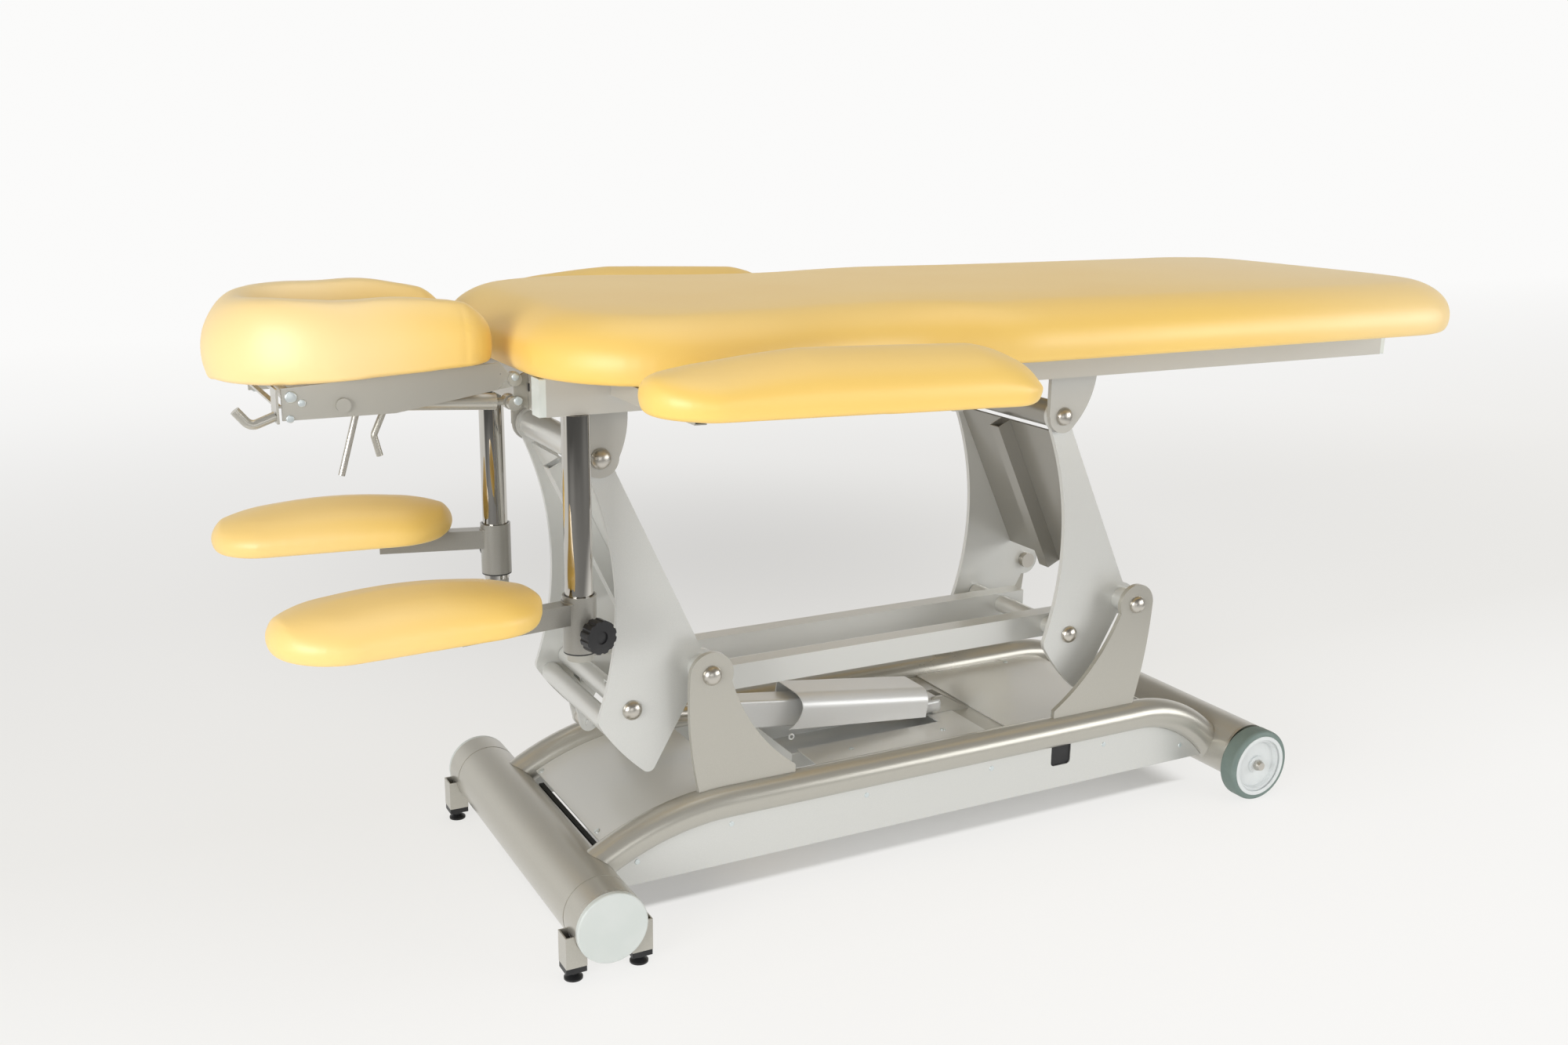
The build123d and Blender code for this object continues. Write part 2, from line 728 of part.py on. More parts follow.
# Lift arms: profiled plates with a boss at the base pivot
for place, pivot in zip(("front", "rear"), base_pivots):
    top = (pivot[0] - arm_lean, pivot[1] + arm_rise)
    link = (pivot[0] - link_back, pivot[1] - link_drop)
    hollow, corner, toe, tip = [
        (pivot[0] + arm_span * share[0], pivot[1] + arm_span * share[1])
        for share in (arm_hollow_share, arm_corner_share, arm_toe_share, arm_tip_share)
    ]
    head_left = (top[0] - arm_head_r, top[1])
    head_right = from_pivot(pivot, arm_span, arm_edge)
    root_right = from_pivot(pivot, 0, arm_edge)
    for name, side in sides.items():
        with BuildPart() as arm:
            with BuildSketch(side_plane(side, arm_inner, arm_outer)) as profile:
                with BuildLine():
                    ThreePointArc(head_left, hollow, corner)
                    ThreePointArc(corner, toe, tip)
                    Polyline(tip, root_right, head_right, head_left)
                make_face()
                fillet(profile.vertices().sort_by_distance(corner)[0], arm_corner_r)
                fillet(profile.vertices().sort_by_distance(tip)[0], arm_tip_r)
                with Locations(top):
                    Circle(arm_head_r)
                with Locations(pivot):
                    Circle(arm_root_r)
                with Locations(pivot, top, link):
                    Circle(bolt_d / 2 + running_gap, mode=Mode.SUBTRACT)
            extrude(amount=arm_thickness)
            with BuildSketch(side_plane(side, arm_outer, fin_inner - boss_gap)):
                with Locations(pivot):
                    Circle(arm_boss_od / 2)
                    Circle(bolt_d / 2 + running_gap, mode=Mode.SUBTRACT)
            extrude(amount=fin_inner - boss_gap - arm_outer)
        keep(arm, f"{place}_arm_{name}")

    # The frame between a pair of arms: top tube, panel and brace, and on the front pair the actuator's tube
    half = arm_inner - weld_gap
    panel_end = arm_span - arm_tube_od / 2 - panel_end_gap
    back = -panel_offset - panel_thickness
    with BuildPart() as arm_frame:
        bar_y(*top, -half, half, arm_tube_od / 2)
        bar_y(*top, -half, half, arm_tube_od / 2 - arm_tube_wall, Mode.SUBTRACT)
        with BuildSketch(side_plane(1, -half, half)):
            Polygon(*[from_pivot(pivot, along, off) for along, off in
                      ((panel_start, -panel_offset), (panel_end, -panel_offset), (panel_end, back),
                       (panel_start, back))], align=None)
        extrude(amount=2 * half)
        for size, mode in ((brace_size, Mode.ADD), (brace_size - 2 * brace_wall, Mode.SUBTRACT)):
            middle_off = back - weld_gap - brace_size / 2
            with BuildSketch(side_plane(1, -size / 2, size / 2)):
                Polygon(*[from_pivot(pivot, along, middle_off + turn * size / 2) for along, turn in
                          ((panel_start, 1), (panel_end, 1), (panel_end, -1), (panel_start, -1))],
                        align=None)
            extrude(amount=size, mode=mode)
        if place == "front":
            low = (link[0] - low_tube_back, link[1] - low_tube_drop)
            bar_y(*low, -half, half, low_tube_od / 2)
            bar_y(*low, -half, half, low_tube_od / 2 - low_tube_wall, Mode.SUBTRACT)
            lug_inner = rod_eye_width / 2 + touch_gap
            for side in sides.values():
                with BuildSketch(side_plane(side, lug_inner, lug_inner + lug_thickness)):
                    with BuildLine():
                        Polyline((low[0] - lug_r, low[1]), (low[0] + lug_r, low[1]),
                                 (rod_pivot[0] + lug_r, rod_pivot[1]), (rod_pivot[0] - lug_r, rod_pivot[1]),
                                 close=True)
                    make_face()
                    with Locations(rod_pivot):
                        Circle(lug_r)
                    with Locations(low):
                        Circle(low_tube_od / 2 + weld_gap, mode=Mode.SUBTRACT)
                    with Locations(rod_pivot):
                        Circle(rod_pin_d / 2 + weld_gap, mode=Mode.SUBTRACT)
                extrude(amount=lug_thickness)
            pin_reach = lug_inner + 2 * lug_thickness
            bar_y(*rod_pivot, -pin_reach, pin_reach, rod_pin_d / 2)
    keep(arm_frame, f"{place}_arm_frame")


def bolt(place, side, inner, outer, collar=None, nut=None):
    """A pivot bolt with a domed head outside; a collar and a nut on its shank where they are given."""
    y_from, y_to = span(side, inner, outer)
    bar_y(*place, y_from, y_to, bolt_d / 2)
    dome_r = (dome_d**2 / 4 + dome_rise**2) / (2 * dome_rise)
    half_turn = asin(dome_d / 2 / dome_r) / 2
    shoulder = (dome_r * sin(half_turn), side * (dome_rise - dome_r + dome_r * cos(half_turn)))
    face = Plane(origin=(place[0], side * outer, place[1]), x_dir=(1, 0, 0), z_dir=(0, 0, 1))
    with BuildSketch(face) as profile:
        with BuildLine() as outline:
            Polyline((0, side * dome_rise), (0, 0), (dome_d / 2, 0))
            ThreePointArc((dome_d / 2, 0), shoulder, (0, side * dome_rise))
        make_face(outline.edges())
    revolve(profile.sketch, axis=Axis((place[0], side * outer, place[1]), (0, 1, 0)))
    for ring in (collar, nut):
        if ring:
            y_from, y_to = span(side, ring[0], ring[1])
            bar_y(*place, y_from, y_to, ring[2] / 2)


with BuildPart() as base_pivot_bolts:
    for place in base_pivots:
        for side in sides.values():
            nut_face = arm_inner - boss_gap
            bolt(place, side, nut_face - bolt_nut, fin_outer + weld_gap,
                 nut=(nut_face - bolt_nut, nut_face, bolt_nut_d))
keep(base_pivot_bolts, "base_pivot_bolts")

with BuildPart() as top_pivot_bolts:
    for place in top_pivots:
        for side in sides.values():
            bolt(place, side, arm_inner - overrun, bracket_outer + weld_gap,
                 collar=(arm_outer + touch_gap, bracket_inner - weld_gap, washer_d))
keep(top_pivot_bolts, "top_pivot_bolts")

# Tie bars with the sleeves that join them, and their bolts through the arms
tie_outer = tie_inner + tie_width
tie_z = link_pivots[0][1]
sleeve_half = arm_inner - link_washer
with BuildPart() as tie_bars:
    for wall, mode in ((0, Mode.ADD), (tie_wall, Mode.SUBTRACT)):
        for side in sides.values():
            y_from, y_to = span(side, tie_inner + wall, tie_outer - wall)
            block(link_pivots[0][0] - tie_past_front, link_pivots[1][0] + tie_past_rear, y_from, y_to,
                  tie_z - tie_height / 2 + wall, tie_z + tie_height / 2 - wall, mode)
    for place in link_pivots:
        bar_y(*place, -sleeve_half, sleeve_half, sleeve_od / 2 + weld_gap, Mode.SUBTRACT)
keep(tie_bars, "tie_bars")

with BuildPart() as tie_sleeves:
    for place in link_pivots:
        bar_y(*place, -sleeve_half, sleeve_half, sleeve_od / 2)
        bar_y(*place, -sleeve_half, sleeve_half, sleeve_od / 2 - sleeve_wall, Mode.SUBTRACT)
keep(tie_sleeves, "tie_sleeves")

with BuildPart() as link_bolts:
    for place in link_pivots:
        for side in sides.values():
            bolt(place, side, sleeve_half - 2 * overrun, arm_outer + touch_gap,
                 nut=(sleeve_half - 2 * overrun, sleeve_half, sleeve_od - 2 * (sleeve_wall + weld_gap)))
keep(link_bolts, "link_bolts")

# Actuator, along the line from the arms' lug to the cheeks on the mid rail
reach = hypot(actuator_x - rod_pivot[0], actuator_z - rod_pivot[1])
heading = ((actuator_x - rod_pivot[0]) / reach, (actuator_z - rod_pivot[1]) / reach)


def across_rod(distance):
    """A plane square to the actuator: its X is the table's Y, its Y points up."""
    origin = (rod_pivot[0] + heading[0] * distance, 0, rod_pivot[1] + heading[1] * distance)
    return Plane(origin=origin, x_dir=(0, 1, 0), z_dir=(heading[0], 0, heading[1]))


def beside_rod(side, inner, outer):
    """A plane along the actuator: its X runs from the rod's eye to the rear pin, its Y points up."""
    y = outer if side > 0 else -inner
    return Plane(origin=(rod_pivot[0], y, rod_pivot[1]), x_dir=(heading[0], 0, heading[1]), z_dir=(0, -1, 0))


with BuildPart() as actuator_rod:
    bar_y(*rod_pivot, -rod_eye_width / 2, rod_eye_width / 2, rod_eye_d / 2)
    for start, end, radius in ((0, rod_neck, rod_eye_width / 2), (rod_neck, rod_length, rod_d / 2)):
        with BuildSketch(across_rod(start)):
            Circle(radius)
        extrude(amount=end - start)
    bar_y(*rod_pivot, -rod_eye_width, rod_eye_width, rod_pin_d / 2 + running_gap, Mode.SUBTRACT)
keep(actuator_rod, "actuator_rod")

screw_end = screw_start + screw_length
gear_top = gear_height - gear_drop
with BuildPart() as actuator_body:
    with BuildSketch(across_rod(screw_start)):
        RectangleRounded(screw_width, screw_height, screw_round)
    extrude(amount=screw_length)
    with BuildSketch(across_rod(screw_start + nose_depth)):
        RectangleRounded(screw_width - 2 * screw_wall, screw_height - 2 * screw_wall, screw_round)
    extrude(amount=screw_length - nose_depth, mode=Mode.SUBTRACT)
    with BuildSketch(across_rod(screw_start)):
        Circle(rod_d / 2 + running_gap)
    extrude(amount=nose_depth, mode=Mode.SUBTRACT)
    with BuildSketch(across_rod(screw_end)):
        with Locations((0, (gear_top - gear_drop) / 2)):
            RectangleRounded(screw_width, gear_height, screw_round)
    extrude(amount=reach - cheek_r - cheek_room - screw_end)
    with BuildSketch(beside_rod(1, -foot_lug_width / 2, foot_lug_width / 2)):
        with Locations((reach, 0)):
            Circle(foot_lug_r)
        lug_run = cheek_r + cheek_room
        with Locations((reach - lug_run / 2, 0)):
            Rectangle(lug_run, 2 * foot_lug_r)
        with Locations((reach, 0)):
            Circle(foot_pin_d / 2 + weld_gap, mode=Mode.SUBTRACT)
    extrude(amount=foot_lug_width)
    pin_half = foot_lug_width / 2 + touch_gap
    bar_y(actuator_x, actuator_z, -pin_half, pin_half, foot_pin_d / 2)
keep(actuator_body, "actuator_body")

hood_end = hood_start + hood_length
with BuildPart() as actuator_hood:
    with BuildSketch(across_rod(hood_start - hood_mouth)) as profile:
        for wall, mode in ((0, Mode.ADD), (sheet, Mode.SUBTRACT)):
            with BuildLine():
                hood_half = hood_width / 2 - wall
                FilletPolyline((-hood_half, -hood_drop), (-hood_half, hood_top - wall),
                               (hood_half, hood_top - wall), (hood_half, -hood_drop),
                               radius=hood_corner_r - wall)
                Line((hood_half, -hood_drop), (-hood_half, -hood_drop))
            make_face(mode=mode)
    extrude(amount=hood_length + hood_mouth)
    with BuildSketch(beside_rod(1, -hood_width, hood_width)):
        with BuildLine():
            ThreePointArc((hood_start, hood_top), (hood_start + hood_mouth / 2, hood_drop),
                          (hood_start - hood_mouth, -hood_drop))
            Polyline((hood_start - hood_mouth, -hood_drop), (hood_start - hood_mouth - overrun, -hood_drop),
                     (hood_start - hood_mouth - overrun, hood_top), (hood_start, hood_top))
        make_face()
    extrude(amount=2 * hood_width, mode=Mode.SUBTRACT)
    with BuildSketch(beside_rod(1, -hood_width, hood_width)):
        with BuildLine():
            Polyline((hood_start - hood_mouth, -hood_drop), (hood_end + overrun, -hood_rear_drop),
                     (hood_end + overrun, -hood_drop - overrun),
                     (hood_start - hood_mouth, -hood_drop - overrun), close=True)
        make_face()
    extrude(amount=2 * hood_width, mode=Mode.SUBTRACT)
keep(actuator_hood, "actuator_hood")

# Top frame: two side rails, with plug caps at both ends
rail_inner = rail_outer - rail_width
rail_top = rail_bottom + rail_height
rail_y = rail_outer - rail_width / 2
rail_z = rail_bottom + rail_height / 2
rest_bar_z = side_rest_z - side_plate_thickness - touch_gap - weld_gap - side_bar_size / 2
rest_x = {-1: near_rest_x, 1: far_rest_x}


def rest_plane(side, height, y):
    """A level of a side arm rest, tilted with it, with its origin over the middle of its length."""
    tilt = radians(side_rest_tilt)
    origin = (rest_x[side] + height * sin(tilt), y, side_rest_z + height * cos(tilt))
    return Plane(origin=origin, x_dir=(cos(tilt), 0, -sin(tilt)), z_dir=(sin(tilt), 0, cos(tilt)))


def rest_block(side, x_middle, length, inner, outer, low, high, mode=Mode.ADD):
    """A block in the tilted frame of a side arm rest."""
    with BuildSketch(rest_plane(side, low, side * (inner + outer) / 2)) as profile:
        with Locations((x_middle, 0)):
            Rectangle(length, outer - inner)
    extrude(profile.sketch, amount=high - low, mode=mode)


bar_mid = rest_bar_z - side_rest_z
socket_half = side_bar_size / 2 + running_gap + socket_wall
bar_half = side_bar_size / 2
bar_places = (-side_bar_x, side_bar_x)
with BuildPart() as side_rails:
    for side in sides.values():
        y_from, y_to = span(side, rail_inner, rail_outer)
        block(rail_left, rail_right, y_from, y_to, rail_bottom, rail_top)
        y_from, y_to = span(side, rail_inner + rail_wall, rail_outer - rail_wall)
        block(rail_left, rail_right, y_from, y_to, rail_bottom + rail_wall, rail_top - rail_wall,
              Mode.SUBTRACT)
        for x in bar_places:
            outer = rail_outer + weld_gap + socket_length
            rest_block(side, x, 2 * socket_half, rail_outer + weld_gap, outer, bar_mid - socket_half,
                       bar_mid + socket_half)
            bore = 2 * (bar_half + running_gap)
            rest_block(side, x, bore, rail_outer + weld_gap, outer, bar_mid - bore / 2, bar_mid + bore / 2,
                       Mode.SUBTRACT)
keep(side_rails, "side_rails")

with BuildPart() as rail_caps:
    for x, turn in ((rail_left, -1), (rail_right, 1)):
        for side in sides.values():
            with BuildSketch(Plane(origin=(x, side * rail_y, rail_z), x_dir=(0, 1, 0), z_dir=(turn, 0, 0))):
                RectangleRounded(rail_width, rail_height, rail_wall)
            extrude(amount=rail_cap)
            with BuildSketch(Plane(origin=(x, side * rail_y, rail_z), x_dir=(0, 1, 0), z_dir=(-turn, 0, 0))):
                Rectangle(rail_width - 2 * (rail_wall + weld_gap), rail_height - 2 * (rail_wall + weld_gap))
            extrude(amount=rail_cap_plug)
keep(rail_caps, "rail_caps")

# Cross beams, with the head rest's hinge lugs and the strut's bolt on the first
cross_half = rail_inner - weld_gap
eye_z = hinge_z - eye_drop
lug_outer = head_half - head_plate - touch_gap
with BuildPart() as crossbeams:
    beams = [(rail_left + head_beam_width / 2, head_beam_width, rail_height)]
    beams += [(x + lift_beam_shift, lift_beam_width, lift_beam_height) for x, z in top_pivots]
    beams += [(foot_beam_x, head_beam_width, lift_beam_height)]
    for x, width, height in beams:
        block(x - width / 2, x + width / 2, -cross_half, cross_half, rail_top - height, rail_top)
        block(x - width / 2 + beam_wall, x + width / 2 - beam_wall, -cross_half, cross_half,
              rail_top - height + beam_wall, rail_top - beam_wall, Mode.SUBTRACT)
    for side in sides.values():
        with BuildSketch(side_plane(side, lug_outer - hinge_lug, lug_outer)):
            with BuildLine():
                Polyline((rail_left - weld_gap, rail_top), (rail_left - weld_gap, rail_bottom),
                         (hinge_x, eye_z), (hinge_x, hinge_z), close=True)
            make_face()
            with Locations((hinge_x, hinge_z), (hinge_x, eye_z)):
                Circle(hinge_lug_r)
            with Locations((rail_left, rail_z)):
                Rectangle(2 * weld_gap, 2 * rail_height, mode=Mode.SUBTRACT)
            with Locations((hinge_x, hinge_z), (hinge_x, eye_z)):
                Circle(hinge_bolt_d / 2 + running_gap, mode=Mode.SUBTRACT)
        extrude(amount=hinge_lug)
    eye_face = -strut_y + strut_eye_width / 2
    bar_y(hinge_x, eye_z, -lug_outer - touch_gap, eye_face + hinge_head, hinge_bolt_d / 2)
    bar_y(hinge_x, eye_z, -lug_outer - hinge_head, -lug_outer - touch_gap, hinge_head_d / 2)
    bar_y(hinge_x, eye_z, eye_face + touch_gap, eye_face + hinge_head, hinge_head_d / 2)
keep(crossbeams, "crossbeams")

# Brackets under the cross beams that carry the top pivots
bracket_top = rail_top - lift_beam_height - weld_gap
with BuildPart() as lift_brackets:
    for (x, z), toe in zip(top_pivots, (front_bracket_toe, rear_bracket_toe)):
        for side in sides.values():
            with BuildSketch(side_plane(side, bracket_inner, bracket_outer)):
                turn = radians(bracket_side_angle)
                side_foot = (x + bracket_r * sin(turn), z - bracket_r * cos(turn))
                with BuildLine():
                    Polyline((x - bracket_back, z), (x - bracket_back, bracket_top), (x + toe, bracket_top))
                    ThreePointArc((x + toe, bracket_top), (x + (toe + bracket_r) / 2, z + bracket_r / 2),
                                  side_foot)
                    Line(side_foot, (x - bracket_back, z))
                make_face()
                with Locations((x, z)):
                    Circle(bracket_r)
                    Circle(bolt_d / 2 + weld_gap, mode=Mode.SUBTRACT)
            extrude(amount=bracket_thickness)
keep(lift_brackets, "lift_brackets")

# Columns: chromed tubes under the rails, each with a slit end ring
with BuildPart() as columns:
    for side in sides.values():
        bar_z(column_x, side * column_y, column_bottom + column_tip, rail_bottom - weld_gap, column_d / 2)
        bar_z(column_x, side * column_y, column_bottom, column_bottom + column_tip, column_tip_d / 2)
        bar_z(column_x, side * column_y, column_bottom, rail_bottom - weld_gap, column_d / 2 - column_wall,
              Mode.SUBTRACT)
        block(column_x + column_d / 4, column_x + column_d, side * column_y - column_slit / 2,
              side * column_y + column_slit / 2, column_bottom, column_bottom + column_tip, Mode.SUBTRACT)
keep(columns, "columns")


def oval(length, width, inset):
    """The rounded oblong outline of an arm rest, drawn in by an inset."""
    half, radius = length / 2, width / 2 - inset
    run = half - width / 2
    bulge = radius * sqrt(1 / 2)
    ThreePointArc((run, -radius), (run + bulge, -bulge), (run + radius, 0))
    ThreePointArc((run + radius, 0), (run + bulge, bulge), (run, radius))
    Line((run, radius), (-run, radius))
    ThreePointArc((-run, radius), (-run - bulge, bulge), (-run - radius, 0))
    ThreePointArc((-run - radius, 0), (-run - bulge, -bulge), (-run, -radius))
    Line((-run, -radius), (run, -radius))


# Sections of a cushion: share of the height, and share of the edge that the outline draws in there
cushion_shares = [(0, 0.22), (0.1, 0.05), (0.3, 0), (0.52, 0.06), (0.74, 0.27), (0.9, 0.6), (1, 1)]
dome_shares = [(0, 0.2), (0.12, 0.05), (0.32, 0), (0.55, 0.13), (0.75, 0.42), (0.9, 0.8), (1, 1.3)]

# Lower arm rests: liner on the column, collar with its arm tube, knob and pad
liner_in = column_d / 2 + running_gap
liner_out = liner_in + liner_wall
collar_in = liner_out + running_gap
collar_out = collar_in + collar_wall
knob_turn = radians(knob_side_angle)
for name, side in sides.items():
    base, swing = (near_collar_z, near_arm_swing) if side < 0 else (far_collar_z, far_arm_swing)
    y = side * column_y
    arm_dir = (-cos(radians(swing)), side * sin(radians(swing)), 0)
    with BuildPart() as liner:
        bar_z(column_x, y, base - liner_lip, base + collar_height, liner_out)
        bar_z(column_x, y, base - liner_lip, base - touch_gap, collar_out - touch_gap)
        bar_z(column_x, y, base - liner_lip, base + collar_height, liner_in, Mode.SUBTRACT)
    keep(liner, f"collar_liner_{name}")

    tube_top = base + collar_height - arm_tube_drop
    knob_z = base + collar_height - knob_drop
    knob_dir = (sin(knob_turn), side * cos(knob_turn), 0)
    knob_plane = Plane(origin=(column_x, y, knob_z), x_dir=(0, 0, 1), z_dir=knob_dir)
    with BuildPart() as collar:
        bar_z(column_x, y, base, base + collar_height, collar_out)
        for start, wall, mode in ((0, 0, Mode.ADD), (collar_in, arm_tube_thick, Mode.SUBTRACT)):
            with BuildSketch(Plane(origin=(column_x, y, tube_top - wall), x_dir=arm_dir, z_dir=(0, 0, 1))):
                with Locations(((start + arm_tube_reach) / 2, 0)):
                    Rectangle(arm_tube_reach - start, arm_tube_width - 2 * wall)
            extrude(amount=-(arm_tube_height - 2 * wall), mode=mode)
        with BuildSketch(knob_plane):
            Circle(knob_nut_d / 2)
        extrude(amount=collar_out + knob_nut)
        with BuildSketch(knob_plane):
            Circle(knob_stud_d / 2 + running_gap)
        extrude(amount=collar_out + knob_nut, mode=Mode.SUBTRACT)
        bar_z(column_x, y, base, base + collar_height, collar_in, Mode.SUBTRACT)
    keep(collar, f"arm_collar_{name}")

    knob_face = collar_out + knob_stand
    lobe_r = knob_d / 2 - knob_lobe_d / 4
    with BuildPart() as knob:
        with BuildSketch(knob_plane.offset(knob_face)):
            Circle(lobe_r)
            with PolarLocations(lobe_r + knob_lobe_d / 4, knob_lobes):
                Circle(knob_lobe_d / 2, mode=Mode.SUBTRACT)
        extrude(amount=knob_depth)
        with BuildSketch(knob_plane.offset(knob_face + knob_depth)):
            Circle(knob_dish_d / 2)
        extrude(amount=-knob_dish, mode=Mode.SUBTRACT)
        with BuildSketch(knob_plane.offset(collar_in + touch_gap)):
            Circle(knob_stud_d / 2)
        extrude(amount=knob_face - collar_in)
    keep(knob, f"clamp_knob_{name}")

    with BuildPart() as lower_pad:
        reach_mid = rest_start + rest_length / 2
        for up, inward in dome_shares:
            middle = (column_x + arm_dir[0] * reach_mid, y + arm_dir[1] * reach_mid,
                      tube_top + touch_gap + rest_height * up)
            with BuildSketch(Plane(origin=middle, x_dir=arm_dir, z_dir=(0, 0, 1))):
                with BuildLine():
                    oval(rest_length, rest_width, rest_height * inward)
                make_face()
        loft()
    keep(lower_pad, f"lower_pad_{name}")

# Side arm rests: a plate on two bars that slide in the rails' sockets, and the pad
for name, side in sides.items():
    rise = 0 if side < 0 else far_rest_rise
    bar_from = rail_outer + side_bar_start
    bar_to = side_rest_y - side_bar_short
    plate_from, plate_to = side_rest_y - side_plate_start, side_rest_y + side_plate_past
    plate_low = -side_plate_thickness - touch_gap + rise
    with BuildPart() as bracket:
        for x in bar_places:
            rest_block(side, x, side_bar_size, bar_from, bar_to, bar_mid - bar_half, bar_mid + bar_half)
            wall = side_bar_wall
            rest_block(side, x, side_bar_size - 2 * wall, bar_from, bar_to, bar_mid - bar_half + wall,
                       bar_mid + bar_half - wall, Mode.SUBTRACT)
            if rise:
                rest_block(side, x, side_bar_size, plate_from, bar_to, bar_mid + bar_half, plate_low)
        rest_block(side, 0, side_plate_length, plate_from, plate_to,
                   plate_low if rise else bar_mid + bar_half, plate_low + side_plate_thickness)
    keep(bracket, f"side_arm_bracket_{name}")

    with BuildPart() as side_pad:
        for up, inward in cushion_shares:
            with BuildSketch(rest_plane(side, rise + side_rest_height * up, side * side_rest_y)):
                with BuildLine():
                    oval(side_rest_length, side_rest_width, side_rest_height * inward)
                make_face()
        loft()
    keep(side_pad, f"side_arm_pad_{name}")


def table_outline(inset):
    """The main pad's outline, waisted behind its shoulders and drawn in by an inset."""
    foot, head = pad_foot_x - inset, pad_head_x + inset
    half, shoulder, waist = pad_half - inset, pad_shoulder_half - inset, pad_waist_half - inset
    head_r, foot_r = pad_head_r - inset, pad_foot_r - inset
    bulge = 1 - sqrt(1 / 2)
    shoulder_x = head + head_r
    rear = (pad_waist_x + pad_waist_reach / 2, (waist + half) / 2)
    front = ((pad_waist_x + shoulder_x) / 2, (waist + shoulder) / 2)
    for side in (-1, 1):
        Line((foot, 0), (foot, side * (half - foot_r)))
        ThreePointArc((foot, side * (half - foot_r)),
                      (foot - foot_r * bulge, side * (half - foot_r * bulge)), (foot - foot_r, side * half))
        Line((foot - foot_r, side * half), (pad_waist_x + pad_waist_reach, side * half))
        TangentArc((pad_waist_x + pad_waist_reach, side * half), (rear[0], side * rear[1]), tangent=(-1, 0))
        TangentArc((pad_waist_x, side * waist), (rear[0], side * rear[1]), tangent=(1, 0))
        TangentArc((pad_waist_x, side * waist), (front[0], side * front[1]), tangent=(-1, 0))
        TangentArc((shoulder_x, side * shoulder), (front[0], side * front[1]), tangent=(1, 0))
        ThreePointArc((shoulder_x, side * shoulder),
                      (head + head_r * bulge, side * (shoulder - head_r * bulge)),
                      (head, side * (shoulder - head_r)))
        Line((head, side * (shoulder - head_r)), (head, 0))


# Main pad
with BuildPart() as main_pad:
    for up, inward in cushion_shares:
        with BuildSketch(Plane.XY.offset(pad_bottom + pad_height * up)):
            with BuildLine():
                table_outline(pad_edge * inward)
            make_face()
    loft()
keep(main_pad, "main_pad")

# Head rest frame: side plates, hinge bolts, cross bars, control lugs and the hook
head_tilt = radians(head_pad_tilt)


def head_floor(x):
    """Height of the head pad's underside over a place along the table."""
    return head_pad_left_z + (x - head_pad_x) * sin(head_tilt) / cos(head_tilt)


